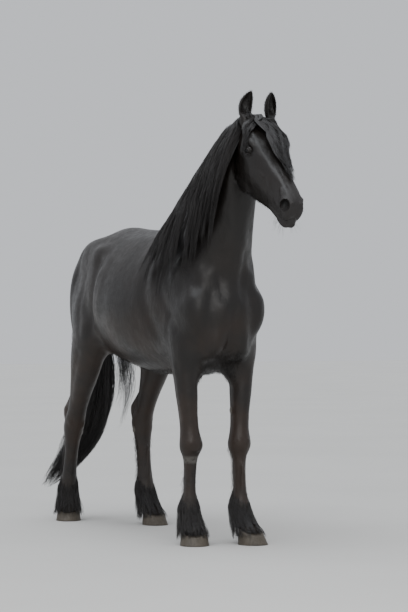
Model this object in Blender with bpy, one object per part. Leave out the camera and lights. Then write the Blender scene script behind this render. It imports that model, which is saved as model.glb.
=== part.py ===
"""A Friesian horse standing still, life size, in metres with +Z up and the nose towards -Y.

Every place is first written as (forward, left, up) from the floor under the breast, and the
function place() turns it into the part's own frame.
"""

import math
import random

import bmesh
import bpy
import numpy as np
from mathutils import Matrix, Vector
from mathutils.bvhtree import BVHTree

# Driving dimensions
WITHERS_HEIGHT = 1.62
DRAWN_WITHERS = 1.62  # the height that the tables of stations below are written for
SCALE = WITHERS_HEIGHT / DRAWN_WITHERS
MIDDLE_FORWARD = -0.585  # the middle of the box round the horse, which becomes the origin
MIDDLE_LEFT = 0.0
GAP = 0.0003  # between two pieces that touch

# Resolution of the solids
VOXEL = 0.008
HEAD_VOXEL = 0.005
FLESH_TRIANGLES = 4000
HEAD_TRIANGLES = 2100
RING_STEPS = 3

# The long hair: number of locks, then a lock's half width and half thickness
MANE_LOCKS = 22
MANE_LOCK_WIDE, MANE_LOCK_THICK = 0.039, 0.0045
MANE_ROOT_DEPTH = 0.014
MANE_CREST_RISE = 0.024
MANE_CORE = 0.45  # the share of the locks' fall that the dense hair under them covers
TAIL_LOCKS = 14
TAIL_LOCK_WIDE, TAIL_LOCK_THICK = 0.054, 0.009
TAIL_CORE = 0.44
FORELOCK_LOCKS = 7
FORELOCK_LOCK_WIDE, FORELOCK_LOCK_THICK = 0.018, 0.004
FEATHER_LOCKS = 6  # on each fetlock
FEATHER_LOCK_WIDE, FEATHER_LOCK_THICK = 0.027, 0.0045
FEATHER_SPREAD = math.radians(112)  # to each side of straight back

# The head hangs from the poll: its own axes run down the face, left, and out of the face
POLL = (0.27, 0.0, 1.98)
HEAD_PITCH = math.radians(46.4)
HEAD_TURN = math.radians(2.1)
HEAD_SIZE = 1.068  # for the head's own tables

# The share of a section's height, from its top, at which each of its five half widths lies
TRUNK_LEVELS = (0.07, 0.28, 0.55, 0.80, 0.95)
HEAD_LEVELS = (0.05, 0.25, 0.50, 0.75, 0.94)

# forward, top, bottom, then the five half widths
TRUNK = (
    (-1.535, 1.30, 1.14, 0.03, 0.06, 0.07, 0.06, 0.03),
    (-1.50, 1.375, 1.04, 0.050, 0.10, 0.135, 0.12, 0.06),
    (-1.42, 1.435, 0.96, 0.066, 0.135, 0.180, 0.16, 0.08),
    (-1.32, 1.495, 0.92, 0.08, 0.172, 0.218, 0.19, 0.10),
    (-1.20, 1.548, 0.895, 0.10, 0.205, 0.245, 0.20, 0.11),
    (-1.08, 1.56, 0.86, 0.11, 0.225, 0.262, 0.215, 0.10),
    (-0.92, 1.542, 0.83, 0.12, 0.242, 0.286, 0.225, 0.10),
    (-0.75, 1.532, 0.805, 0.12, 0.25, 0.303, 0.25, 0.12),
    (-0.60, 1.54, 0.80, 0.095, 0.23, 0.295, 0.245, 0.12),
    (-0.45, 1.59, 0.80, 0.06, 0.195, 0.265, 0.225, 0.11),
    (-0.30, 1.60, 0.80, 0.045, 0.165, 0.235, 0.20, 0.10),
    (-0.16, 1.52, 0.82, 0.06, 0.155, 0.215, 0.17, 0.08),
    (-0.06, 1.40, 0.89, 0.06, 0.14, 0.18, 0.14, 0.07),
    (0.015, 1.27, 0.99, 0.05, 0.10, 0.13, 0.10, 0.055),
    (0.045, 1.20, 1.09, 0.02, 0.05, 0.06, 0.05, 0.02),
)

# crest forward and up, underline forward and up, then the five half widths
NECK = (
    (-0.62, 1.50, -0.25, 0.98, 0.05, 0.14, 0.18, 0.15, 0.08),
    (-0.46, 1.595, -0.08, 1.10, 0.045, 0.125, 0.175, 0.155, 0.09),
    (-0.30, 1.695, 0.02, 1.25, 0.036, 0.105, 0.15, 0.14, 0.08),
    (-0.13, 1.835, 0.075, 1.40, 0.034, 0.088, 0.12, 0.112, 0.062),
    (0.01, 1.938, 0.112, 1.535, 0.034, 0.078, 0.100, 0.094, 0.052),
    (0.115, 2.000, 0.134, 1.64, 0.034, 0.070, 0.088, 0.082, 0.048),
    (0.205, 2.005, 0.160, 1.735, 0.034, 0.062, 0.075, 0.068, 0.04),
    (0.285, 1.965, 0.232, 1.82, 0.030, 0.050, 0.060, 0.055, 0.035),
)

# along the face from the poll, top, bottom, then the five half widths
HEAD = (
    (-0.045, -0.03, -0.15, 0.025, 0.045, 0.05, 0.045, 0.02),
    (-0.01, -0.002, -0.19, 0.044, 0.064, 0.066, 0.056, 0.03),
    (0.035, 0.013, -0.220, 0.056, 0.076, 0.074, 0.062, 0.034),
    (0.088, 0.021, -0.243, 0.062, 0.087, 0.079, 0.068, 0.036),
    (0.137, 0.022, -0.250, 0.062, 0.092, 0.082, 0.071, 0.036),
    (0.185, 0.016, -0.247, 0.056, 0.085, 0.082, 0.067, 0.034),
    (0.238, 0.008, -0.230, 0.047, 0.071, 0.077, 0.057, 0.030),
    (0.29, 0.003, -0.208, 0.040, 0.058, 0.064, 0.047, 0.027),
    (0.345, 0.002, -0.184, 0.036, 0.049, 0.053, 0.041, 0.026),
    (0.40, 0.002, -0.162, 0.033, 0.045, 0.047, 0.038, 0.025),
    (0.443, 0.000, -0.150, 0.033, 0.047, 0.046, 0.037, 0.023),
    (0.478, -0.008, -0.138, 0.034, 0.049, 0.048, 0.037, 0.023),
    (0.501, -0.028, -0.128, 0.029, 0.041, 0.042, 0.033, 0.021),
    (0.515, -0.052, -0.112, 0.017, 0.027, 0.029, 0.022, 0.012),
)

# Joint centres of each leg, then the turn of its hoof outwards
FORE_LEGS = {
    "right": {
        "elbow": (-0.19, -0.160, 0.93),
        "knee": (-0.155, -0.128, 0.475),
        "fetlock": (-0.180, -0.124, 0.160),
        "hoof": (-0.115, -0.128, 0.0),
        "turn": math.radians(-20),
    },
    "left": {
        "elbow": (-0.19, 0.160, 0.93),
        "knee": (-0.155, 0.132, 0.475),
        "fetlock": (-0.135, 0.130, 0.160),
        "hoof": (-0.030, 0.140, 0.0),
        "turn": math.radians(14),
    },
}
HIND_LEGS = {
    "right": {
        "stifle": (-1.16, -0.180, 0.93),
        "hock": (-1.49, -0.145, 0.535),
        "fetlock": (-1.585, -0.140, 0.160),
        "hoof": (-1.555, -0.150, 0.0),
        "turn": math.radians(-25),
    },
    "left": {
        "stifle": (-1.05, 0.180, 0.94),
        "hock": (-1.275, 0.150, 0.550),
        "fetlock": (-1.225, 0.150, 0.160),
        "hoof": (-1.125, 0.155, 0.0),
        "turn": math.radians(8),
    },
}

# bones of the leg, share of the way, half size fore and aft, half size across, shift forward
FORE_SECTIONS = (
    ("elbow", "knee", -0.45, 0.115, 0.050, 0.02),
    ("elbow", "knee", -0.18, 0.112, 0.062, 0.01),
    ("elbow", "knee", 0.05, 0.098, 0.066, 0.0),
    ("elbow", "knee", 0.25, 0.076, 0.061, 0.010),
    ("elbow", "knee", 0.50, 0.060, 0.054, 0.008),
    ("elbow", "knee", 0.78, 0.050, 0.046, 0.002),
    ("elbow", "knee", 0.91, 0.052, 0.052, 0.003),
    ("elbow", "knee", 1.00, 0.058, 0.059, 0.004),
    ("knee", "fetlock", 0.10, 0.050, 0.052, 0.0),
    ("knee", "fetlock", 0.22, 0.038, 0.036, -0.002),
    ("knee", "fetlock", 0.50, 0.037, 0.030, -0.002),
    ("knee", "fetlock", 0.72, 0.040, 0.032, -0.002),
    ("knee", "fetlock", 0.88, 0.048, 0.042, -0.003),
    ("knee", "fetlock", 1.00, 0.054, 0.047, -0.004),
    ("fetlock", "hoof", 0.25, 0.045, 0.041, 0.0),
    ("fetlock", "hoof", 0.42, 0.045, 0.046, -0.004),
    ("fetlock", "hoof", 0.60, 0.060, 0.060, -0.010),
    ("fetlock", "hoof", 0.80, 0.066, 0.064, -0.018),
)
HIND_SECTIONS = (
    ("stifle", "hock", -0.35, 0.165, 0.065, -0.09),
    ("stifle", "hock", -0.10, 0.160, 0.082, -0.07),
    ("stifle", "hock", 0.15, 0.140, 0.080, -0.045),
    ("stifle", "hock", 0.40, 0.107, 0.068, -0.02),
    ("stifle", "hock", 0.62, 0.078, 0.056, -0.01),
    ("stifle", "hock", 0.82, 0.066, 0.049, 0.0),
    ("stifle", "hock", 1.00, 0.072, 0.053, 0.005),
    ("hock", "fetlock", 0.12, 0.066, 0.053, 0.0),
    ("hock", "fetlock", 0.26, 0.052, 0.044, -0.002),
    ("hock", "fetlock", 0.45, 0.044, 0.037, -0.002),
    ("hock", "fetlock", 0.70, 0.045, 0.038, -0.002),
    ("hock", "fetlock", 0.88, 0.052, 0.045, -0.003),
    ("hock", "fetlock", 1.00, 0.057, 0.049, -0.004),
    ("fetlock", "hoof", 0.25, 0.048, 0.044, 0.0),
    ("fetlock", "hoof", 0.42, 0.047, 0.047, -0.004),
    ("fetlock", "hoof", 0.60, 0.060, 0.059, -0.010),
    ("fetlock", "hoof", 0.80, 0.065, 0.062, -0.018),
)


def place(forward, left, up):
    """The point of the part's frame at (forward, left, up)."""
    return SCALE * Vector((left - MIDDLE_LEFT, MIDDLE_FORWARD - forward, up))


def smooth_rows(rows, steps):
    """The rows of numbers with steps - 1 more between each two, on a smooth curve."""
    rows = np.array(rows, float)
    padded = np.vstack([2 * rows[0] - rows[1], rows, 2 * rows[-1] - rows[-2]])
    made = []
    for i in range(1, len(padded) - 2):
        p0, p1, p2, p3 = padded[i - 1 : i + 3]
        for t in np.arange(steps) / steps:
            made.append(
                0.5 * (2 * p1 + (p2 - p0) * t + (2 * p0 - 5 * p1 + 4 * p2 - p3) * t**2
                       + (3 * p1 - p0 - 3 * p2 + p3) * t**3)
            )
    made.append(rows[-1])
    return np.array(made)


def outline(top, bottom, widths, levels):
    """A section's points as (across, up): down one side from the top and back up the other."""
    height = top - bottom
    side = [(w, top - share * height) for w, share in zip(widths, levels)]
    other = [(-w, up) for w, up in reversed(side)]
    corners = [(0.0, top), *side, (0.0, bottom), *other]
    closed = [corners[-1], *corners, corners[0], corners[1]]
    return smooth_rows(closed, RING_STEPS)[RING_STEPS : -2 * RING_STEPS]


def loft(bm, rings):
    """A closed skin through the rings, each a list of points."""
    made = []
    for points in rings:
        verts = bmesh.ops.create_circle(bm, cap_ends=False, segments=len(points), radius=1)["verts"]
        for vert, point in zip(verts, points):
            vert.co = point
        made.append(verts)
    for lower, upper in zip(made, made[1:]):
        count = len(lower)
        for i in range(count):
            j = (i + 1) % count
            bm.faces.new((lower[i], lower[j], upper[j], upper[i]))
    bm.faces.new(list(reversed(made[0])))
    bm.faces.new(made[-1])


def object_of(name, bm, material=None):
    """A new object that takes bm as its mesh, with its faces turned outwards."""
    bmesh.ops.recalc_face_normals(bm, faces=bm.faces)
    if bm.calc_volume(signed=True) < 0:
        bmesh.ops.reverse_faces(bm, faces=bm.faces)
    mesh = bpy.data.meshes.new(name)
    bm.to_mesh(mesh)
    bm.free()
    obj = bpy.data.objects.new(name, mesh)
    bpy.context.scene.collection.objects.link(obj)
    if material:
        mesh.materials.append(material)
    return obj


def settle(obj):
    """Applies the object's modifiers."""
    graph = bpy.context.evaluated_depsgraph_get()
    mesh = bpy.data.meshes.new_from_object(obj.evaluated_get(graph))
    obj.modifiers.clear()
    old = obj.data
    obj.data = mesh
    bpy.data.meshes.remove(old)
    return obj


def add_trunk(bm):
    rings = []
    for row in smooth_rows(TRUNK, 3):
        forward, top, bottom, *widths = row
        points = outline(top, bottom, widths, TRUNK_LEVELS)
        rings.append([place(forward, across, up) for across, up in points])
    loft(bm, rings)


def add_neck(bm):
    rings = []
    for row in smooth_rows(NECK, 4):
        crest, under, widths = Vector(row[:2]), Vector(row[2:4]), row[4:]
        up_axis = (crest - under).normalized()
        points = outline((crest - under).length, 0.0, widths, TRUNK_LEVELS)
        ring = []
        for across, up in points:
            forward, height = under + up_axis * up
            ring.append(place(forward, across, height))
        rings.append(ring)
    loft(bm, rings)


def head_point(along, across, out):
    """The point at (along the face, left, out of the face) from the poll."""
    along, across, out = HEAD_SIZE * along, HEAD_SIZE * across, HEAD_SIZE * out
    forward = along * math.cos(HEAD_PITCH) + out * math.sin(HEAD_PITCH)
    up = -along * math.sin(HEAD_PITCH) + out * math.cos(HEAD_PITCH)
    turned = forward * math.cos(HEAD_TURN) - across * math.sin(HEAD_TURN)
    left = forward * math.sin(HEAD_TURN) + across * math.cos(HEAD_TURN)
    return place(POLL[0] + turned, POLL[1] + left, POLL[2] + up)


def add_head(bm):
    rings = []
    for row in smooth_rows(HEAD, 3):
        along, top, bottom, *widths = row
        points = outline(top, bottom, widths, HEAD_LEVELS)
        rings.append([head_point(along, across, out) for across, out in points])
    loft(bm, rings)


PASTERN_TILT = math.radians(28)


def leg_rings(leg, sections, segments=20):
    """Rings down the leg, level down to the fetlock and then square to the pastern."""
    rows = []
    for start, end, share, deep, wide, ahead in sections:
        centre = Vector(leg[start]).lerp(Vector(leg[end]), share)
        turn, tilt = 0.0, 0.0
        if start == "fetlock":
            turn, tilt = leg["turn"], min(1.0, 2 * share) * PASTERN_TILT
        elif start in ("knee", "hock"):
            turn = leg["turn"] * share
        rows.append((*centre, deep, wide, ahead, turn, tilt))
    rings = []
    for forward, left, up, deep, wide, ahead, turn, tilt in smooth_rows(rows, RING_STEPS):
        ring = []
        for i in range(segments):
            angle = 2 * math.pi * i / segments
            x, y = ahead + deep * math.cos(angle), wide * math.sin(angle)
            f = x * math.cos(turn) - y * math.sin(turn)
            b = x * math.sin(turn) + y * math.cos(turn)
            ring.append(place(forward + f, left + b, up + 0.6 * x * math.sin(tilt)))
        rings.append(ring)
    return rings


def add_ball(bm, centre, radii, pitch=0.0, to_frame=place, yaw=0.0):
    """An ellipsoid: radii along the frame's first, second and third axis, pitched nose down."""
    verts = bmesh.ops.create_icosphere(bm, subdivisions=3, radius=1)["verts"]
    turn = Matrix.Rotation(yaw, 3, "Z") @ Matrix.Rotation(pitch, 3, "Y")
    for vert in verts:
        offset = turn @ Vector([r * c for r, c in zip(radii, vert.co)])
        vert.co = to_frame(*(Vector(centre) + offset))
    # both frames mirror the sphere, which turns its faces in
    bmesh.ops.reverse_faces(bm, faces=list({face for vert in verts for face in vert.link_faces}))


# centre (forward, left, up), radii in the same order, pitch nose down in degrees; both sides
BODY_MUSCLES = (
    ((-0.20, 0.140, 1.20), (0.10, 0.070, 0.25), 22),  # shoulder blade
    ((-0.07, 0.145, 1.12), (0.095, 0.075, 0.14), 0),  # point of the shoulder
    ((-0.26, 0.160, 1.02), (0.14, 0.070, 0.15), 20),  # triceps
    ((-0.085, 0.075, 1.02), (0.105, 0.080, 0.16), -18),  # breast
    ((-0.15, 0.140, 0.93), (0.09, 0.080, 0.13), 0),  # arm
    ((-0.17, 0.110, 0.85), (0.06, 0.065, 0.09), 0),  # inner side of the arm
    ((-1.18, 0.105, 1.345), (0.26, 0.112, 0.160), 6),  # rump
    ((-1.35, 0.130, 1.12), (0.125, 0.095, 0.30), -8),  # back of the thigh
    ((-1.22, 0.150, 1.08), (0.18, 0.105, 0.25), 12),  # thigh
    ((-1.03, 0.208, 1.38), (0.09, 0.028, 0.06), 0),  # point of the hip
)


def add_body_muscles(bm):
    for centre, radii, pitch in BODY_MUSCLES:
        for side in (-1, 1):
            forward, left, up = centre
            add_ball(bm, (forward, side * left, up), radii, math.radians(pitch))


# centre (along, left, out), radii in the same order, pitch in degrees; both sides
HEAD_MASSES = (
    ((0.150, 0.042, -0.155), (0.095, 0.032, 0.095), 0),  # jaw
    ((0.122, 0.070, -0.012), (0.034, 0.020, 0.018), 10),  # brow
    ((0.205, 0.064, -0.072), (0.085, 0.013, 0.013), -9),  # facial crest
    ((0.34, 0.024, -0.012), (0.16, 0.014, 0.014), 0),  # nasal bone
    ((0.462, 0.034, -0.045), (0.040, 0.024, 0.034), 0),  # nostril wing
    ((0.482, 0.018, -0.068), (0.036, 0.030, 0.032), 0),  # upper lip
    ((0.475, 0.012, -0.128), (0.045, 0.027, 0.020), 0),  # lower lip and chin
    ((0.36, 0.022, -0.142), (0.17, 0.016, 0.020), -9),  # bar of the jaw
)


def add_head_masses(bm):
    for centre, radii, pitch in HEAD_MASSES:
        for side in (-1, 1):
            along, across, out = centre
            add_ball(bm, (along, side * across, out), radii, math.radians(pitch), head_point)


def add_legs(bm):
    for leg in FORE_LEGS.values():
        loft(bm, leg_rings(leg, FORE_SECTIONS))
    for leg in HIND_LEGS.values():
        loft(bm, leg_rings(leg, HIND_SECTIONS))


def add_hock_points(bm):
    """The heel bone behind each hock with the tendon that runs up from it, and the skin before it."""
    for leg in HIND_LEGS.values():
        hock, stifle = Vector(leg["hock"]), Vector(leg["stifle"])
        calf = hock.lerp(stifle, 0.50)
        tendon = (
            (hock + Vector((-0.030, 0, -0.07)), 0.036),
            (hock + Vector((-0.064, 0, 0.030)), 0.040),
            (hock + Vector((-0.076, 0, 0.065)), 0.034),
            (hock.lerp(calf, 0.6) + Vector((-0.058, 0, 0.03)), 0.034),
            (calf + Vector((-0.045, 0, 0.02)), 0.044),
        )
        web = (
            (hock + Vector((-0.020, 0, -0.01)), 0.040),
            (hock + Vector((-0.042, 0, 0.06)), 0.048),
            (hock.lerp(calf, 0.5) + Vector((-0.040, 0, 0.03)), 0.048),
            (calf + Vector((-0.030, 0, 0.03)), 0.050),
        )
        for path, flat in ((tendon, 0.8), (web, 0.42)):
            rings = []
            for centre, radius in path:
                ring = []
                for i in range(12):
                    angle = 2 * math.pi * i / 12
                    forward = centre.x + radius * math.cos(angle)
                    left = centre.y + flat * radius * math.sin(angle)
                    ring.append(place(forward, left, centre.z))
                rings.append(ring)
            loft(bm, rings)


def ear_frame(side):
    """An ear's base, its axis, and the ways across its cup and out of it. Side is -1 for the right."""
    base = head_point(-0.002, side * 0.064, 0.000)
    tip = head_point(-0.076, side * 0.064, 0.115)
    axis = (tip - base).normalized()
    facing = (head_point(1, side * 0.35, 0.55) - head_point(0, 0, 0)).normalized()
    across = axis.cross(facing).normalized()
    return base, axis, across, across.cross(axis).normalized()


def add_ear_stubs(bm):
    for side in (-1, 1):
        base, axis, _, _ = ear_frame(side)
        verts = bmesh.ops.create_icosphere(bm, subdivisions=3, radius=0.027 * SCALE)["verts"]
        for vert in verts:
            vert.co = base + vert.co + axis * 0.2 * vert.co.dot(axis)


def flesh_of(adders, voxel, broad_turns):
    """The masses grown together into one closed skin, with the broad muscles blended in."""
    bm = bmesh.new()
    for add in adders:
        add(bm)
    flesh = object_of("flesh", bm)
    remesh = flesh.modifiers.new("grow_together", "REMESH")
    remesh.mode = "VOXEL"
    remesh.voxel_size = voxel
    settle(flesh)
    if broad_turns:
        places = np.empty(len(flesh.data.vertices) * 3, np.float32)
        flesh.data.vertices.foreach_get("co", places)
        up = places.reshape(-1, 3)[:, 2] / SCALE
        forward = MIDDLE_FORWARD - places.reshape(-1, 3)[:, 1] / SCALE
        share = np.clip((up - 0.72) / 0.14, 0, 1) * np.clip((0.14 - forward) / 0.1, 0, 1)
        group = flesh.vertex_groups.new(name="broad")
        for step in range(1, 11):
            chosen = np.flatnonzero(np.round(share * 10) == step)
            group.add(chosen.tolist(), step / 10, "REPLACE")
        broad = flesh.modifiers.new("broad", "SMOOTH")
        broad.factor = 0.8
        broad.iterations = broad_turns
        broad.vertex_group = "broad"
    fine = flesh.modifiers.new("fine", "SMOOTH")
    fine.iterations = 4
    return settle(flesh)


def is_closed(obj):
    """Whether each edge of the object's mesh joins exactly two faces."""
    bm = bmesh.new()
    bm.from_mesh(obj.data)
    closed = all(len(edge.link_faces) == 2 for edge in bm.edges)
    bm.free()
    return closed


def thin_out(obj, triangles):
    """Reduces the object's mesh to about this many triangles."""
    now = sum(len(face.vertices) - 2 for face in obj.data.polygons)
    if triangles < now:
        fewer = obj.modifiers.new("fewer", "DECIMATE")
        fewer.ratio = triangles / now
        settle(obj)
    return obj


def volume_of(obj):
    bm = bmesh.new()
    bm.from_mesh(obj.data)
    volume = bm.calc_volume(signed=True)
    bm.free()
    return volume


def combine(obj, others, operation="DIFFERENCE", least=0.5):
    """Applies a Boolean of the object with all the others, and removes them."""
    group = bpy.data.collections.new("others")
    bpy.context.scene.collection.children.link(group)
    for other in others:
        bpy.context.scene.collection.objects.unlink(other)
        group.objects.link(other)
    before, start = volume_of(obj), obj.data.copy()
    most = 1.001 if operation == "DIFFERENCE" else 30
    for solver in ("EXACT", "MANIFOLD"):
        obj.data = start.copy()
        boolean = obj.modifiers.new("combine", "BOOLEAN")
        boolean.operation = operation
        boolean.solver = solver
        boolean.operand_type = "COLLECTION"
        boolean.collection = group
        settle(obj)
        if least * before < volume_of(obj) < most * before and is_closed(obj):
            break
    for other in others:
        bpy.data.objects.remove(other)
    bpy.data.collections.remove(group)
    return obj


def bodies_of(obj):
    """The object's separate closed surfaces, each as its own bmesh, largest first."""
    whole = bmesh.new()
    whole.from_mesh(obj.data)
    seen = set()
    found = []
    for start in whole.faces:
        if start.index in seen:
            continue
        seen.add(start.index)
        reached, to_visit = [start.index], [start]
        while to_visit:
            for edge in to_visit.pop().edges:
                # a scrap may touch its neighbour along an edge, which then has four faces
                for face in edge.link_faces if len(edge.link_faces) == 2 else ():
                    if face.index not in seen:
                        seen.add(face.index)
                        reached.append(face.index)
                        to_visit.append(face)
        found.append(set(reached))
    bodies = []
    for indices in sorted(found, key=len, reverse=True):
        body = whole.copy()
        spare = [face for face in body.faces if face.index not in indices]
        bmesh.ops.delete(body, geom=spare, context="FACES")
        bodies.append(body)
    whole.free()
    return bodies


def keep_largest(obj):
    bodies = bodies_of(obj)
    bodies[0].to_mesh(obj.data)
    for body in bodies:
        body.free()
    return obj


def slab(centre, normal, sides, thick=GAP, name="slab"):
    """A thin box square to the normal, with its two sides level and up the slope."""
    normal = normal.normalized()
    level = normal.cross(Vector((0, 0, 1)))
    level = level.normalized() if level.length > 0.01 else Vector((1, 0, 0))
    slope = level.cross(normal).normalized()
    bm = bmesh.new()
    bmesh.ops.create_cube(bm, size=1)
    for vert in bm.verts:
        across, up, through = vert.co.x * sides[0], vert.co.y * sides[1], vert.co.z * thick
        vert.co = centre + level * across + slope * up + normal * through
    return object_of(name, bm)


def into_triangles(obj):
    bm = bmesh.new()
    bm.from_mesh(obj.data)
    bmesh.ops.triangulate(bm, faces=bm.faces)
    bm.to_mesh(obj.data)
    bm.free()
    return obj


def grown(obj, by):
    """A copy of the object with its surface moved out."""
    into_triangles(obj)
    copy = bpy.data.objects.new(obj.name + "_grown", obj.data.copy())
    bpy.context.scene.collection.objects.link(copy)
    displace = copy.modifiers.new("grow", "DISPLACE")
    displace.strength = by
    displace.mid_level = 0
    return settle(copy)


# Where the flesh is parted: centre (forward, left, up), normal in the same order, the two sides
FORE_CUT_UP = 0.775
HIND_CUT_UP = 0.80
KNEE_CUT_UP = 0.415
HOCK_CUT_UP = 0.465
NECK_CUT = ((-0.165, 0.0, 1.40), (0.80, 0.0, 0.60), (0.80, 0.80))
HEAD_CUT = ((0.245, 2.10), (0.215, 1.97), (0.175, 1.80), (0.160, 1.70), (0.160, 1.60))


def way(forward, left, up):
    """A direction of the part's frame from (forward, left, up)."""
    return Vector((left, -forward, up)).normalized()


def curtain(points, thick=GAP, wide=0.6, behind=0.0):
    """A thin wall across the horse on a line of (forward, up) points, or a block behind that line."""
    front, back = [], []
    for i, (forward, up) in enumerate(points):
        before, after = points[max(0, i - 1)], points[min(len(points) - 1, i + 1)]
        fall = Vector((after[0] - before[0], after[1] - before[1])).normalized()
        square = Vector((-fall.y, fall.x)) * thick / (2 * SCALE)
        front.append((forward + square.x, up + square.y))
        back.append((forward - square.x, up - square.y))
    if behind:
        back = [(points[0][0] - behind, points[0][1]), (points[-1][0] - behind, points[-1][1])]
    rim = front + back[::-1]
    bm = bmesh.new()
    loft(bm, [[place(f, across, u) for f, u in rim] for across in (-wide / 2, wide / 2)])
    return object_of("curtain", bm)


def flesh_slabs():
    centre, normal, sides = NECK_CUT
    slabs = [slab(place(*centre), way(*normal), sides), curtain(HEAD_CUT)]
    for legs, names, heights in (
        (FORE_LEGS, ("elbow", "knee", "fetlock"), (FORE_CUT_UP, KNEE_CUT_UP)),
        (HIND_LEGS, ("stifle", "hock", "fetlock"), (HIND_CUT_UP, HOCK_CUT_UP)),
    ):
        for leg in legs.values():
            for first, second, up in zip(names, names[1:], heights):
                high, low = Vector(leg[first]), Vector(leg[second])
                centre = high.lerp(low, (high.z - up) / (high.z - low.z))
                wide = 0.44 if second in ("knee", "hock") else 0.20
                across = 0.28 if second in ("knee", "hock") else 0.20
                slabs.append(slab(place(*centre), Vector((0, 0, 1)), (across, wide)))
    return slabs


HOOF_HEIGHT = 0.066
HOOF_SEGMENTS = 18
CORONET_TILT = math.radians(22)


def coronet_frame(leg):
    """The middle of the hoof's top, the way up out of it, its way ahead and its way left."""
    turn = leg["turn"]
    ahead = way(math.cos(turn), math.sin(turn), 0)
    left = Vector((0, 0, 1)).cross(ahead)
    up = Vector((0, 0, 1)) * math.cos(CORONET_TILT) + ahead * math.sin(CORONET_TILT)
    centre = place(*leg["hoof"]) + Vector((0, 0, HOOF_HEIGHT * SCALE)) - ahead * 0.012 * SCALE
    return centre, up, ahead, left


def hoof(name, leg, half_long, half_wide, material):
    """The hoof: a flat sole on the floor, walls that slope in to the tilted coronet."""
    centre, up, ahead, left = coronet_frame(leg)
    ground = place(*leg["hoof"])
    along = left.cross(up).normalized()
    rings = []
    for share, swell in ((0.0, 0.0), (0.08, 0.0), (0.55, 0.014), (0.93, 0.004), (1.0, -0.010)):
        ring = []
        for i in range(HOOF_SEGMENTS):
            angle = 2 * math.pi * i / HOOF_SEGMENTS
            x, y = math.cos(angle), math.sin(angle)
            # the toe is round and the heels are drawn together
            heel = 1.0 if x > -0.2 else 1 - 0.16 * ((-x - 0.2) / 0.8) ** 2
            notch = 0.12 * max(0.0, -x) ** 3 if abs(y) < 0.35 else 0
            sole = ground + ahead * half_long * (x + notch) + left * half_wide * y * heel
            top = centre - up * GAP + along * half_long * 0.80 * x + left * half_wide * 0.84 * y
            point = sole.lerp(top, share)
            if share <= 0.08:
                point = sole + Vector((0, 0, share * HOOF_HEIGHT * SCALE))
            ring.append(point + (point - sole.lerp(centre, share)) * swell)
        rings.append(ring)
    bm = bmesh.new()
    loft(bm, rings)
    return shade(object_of(name, bm, material))


def shade(obj, angle=40):
    """Shades the object smooth, with edges over the angle kept sharp."""
    for face in obj.data.polygons:
        face.use_smooth = True
    obj.data.set_sharp_from_angle(angle=math.radians(angle))
    return obj


def ear(name, side, material):
    """An upright ear with its cup open to the front."""
    base, axis, across, facing = ear_frame(side)
    length = 0.124 * SCALE
    base = base + axis * (EAR_SEAT * SCALE + GAP)
    # height, half width, half depth, how open the cup is, lean across towards the other ear
    rows = smooth_rows((
        (0.0, 0.023, 0.021, 0.0, 0.0),
        (0.10, 0.027, 0.023, 0.12, -0.001),
        (0.28, 0.031, 0.026, 0.75, -0.002),
        (0.50, 0.031, 0.026, 0.85, -0.001),
        (0.70, 0.026, 0.022, 0.80, 0.003),
        (0.86, 0.017, 0.015, 0.65, 0.008),
        (0.95, 0.009, 0.009, 0.45, 0.012),
        (1.0, 0.003, 0.004, 0.2, 0.014),
    ), 1)
    rings = []
    for height, wide, deep, cup, lean in rows:
        middle = base + axis * (height * length) - across * side * lean * SCALE
        middle -= facing * 0.010 * math.sin(math.pi * height)
        outer, inner = [], []
        for i in range(7):
            angle = math.radians(-118 + 236 * i / 6)
            x, y = math.sin(angle), -math.cos(angle)
            outer.append((wide * x, deep * y))
            wall = min(0.0055, 0.4 * wide)
            hollow = ((wide - wall) * x, (deep - wall) * y)
            front = (
                0.9 * wide * math.sin(0.5 * angle), deep * (0.45 + 0.55 * math.cos(0.75 * angle))
            )
            inner.append([front[k] * (1 - cup) + hollow[k] * cup for k in (0, 1)])
        ring = outer + inner[::-1]
        rings.append([middle + across * x + facing * y for x, y in ring])
    bm = bmesh.new()
    loft(bm, rings)
    bm.normal_update()
    return shade(object_of(name, bm, material), 60)


EAR_SEAT = 0.020  # from the ear's base up to where it leaves the head
EAR_ROOM = 0.04
HAIR_CLEAR = 0.0009  # the room cut between hair and another node's surface
FORE_HOOF = (0.077, 0.070)  # half length and half width
HIND_HOOF = (0.074, 0.066)

EYE_PLACE = (0.138, 0.0735, -0.040)
EYE_RADIUS = 0.0205


def eye_frame(side):
    """An eyeball's centre, the way it looks, the way along its lids and the way across them."""
    along, across, out = EYE_PLACE
    centre = head_point(along, side * across, out)
    look = (head_point(along + 0.20, side * (across + 0.93), out + 0.12) - centre).normalized()
    along_lids = (head_point(along + 1, side * across, out + 0.10) - centre).normalized()
    along_lids = (along_lids - look * along_lids.dot(look)).normalized()
    return centre, look, along_lids, look.cross(along_lids).normalized() * side


def eye(name, side, material, radius=EYE_RADIUS):
    centre, look, _, _ = eye_frame(side)
    bm = bmesh.new()
    bmesh.ops.create_uvsphere(bm, u_segments=12, v_segments=7, radius=radius * SCALE)
    turn = look.to_track_quat("Z", "Y").to_matrix()
    for vert in bm.verts:
        vert.co = centre + turn @ vert.co
    return shade(object_of(name, bm, material), 80)


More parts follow.
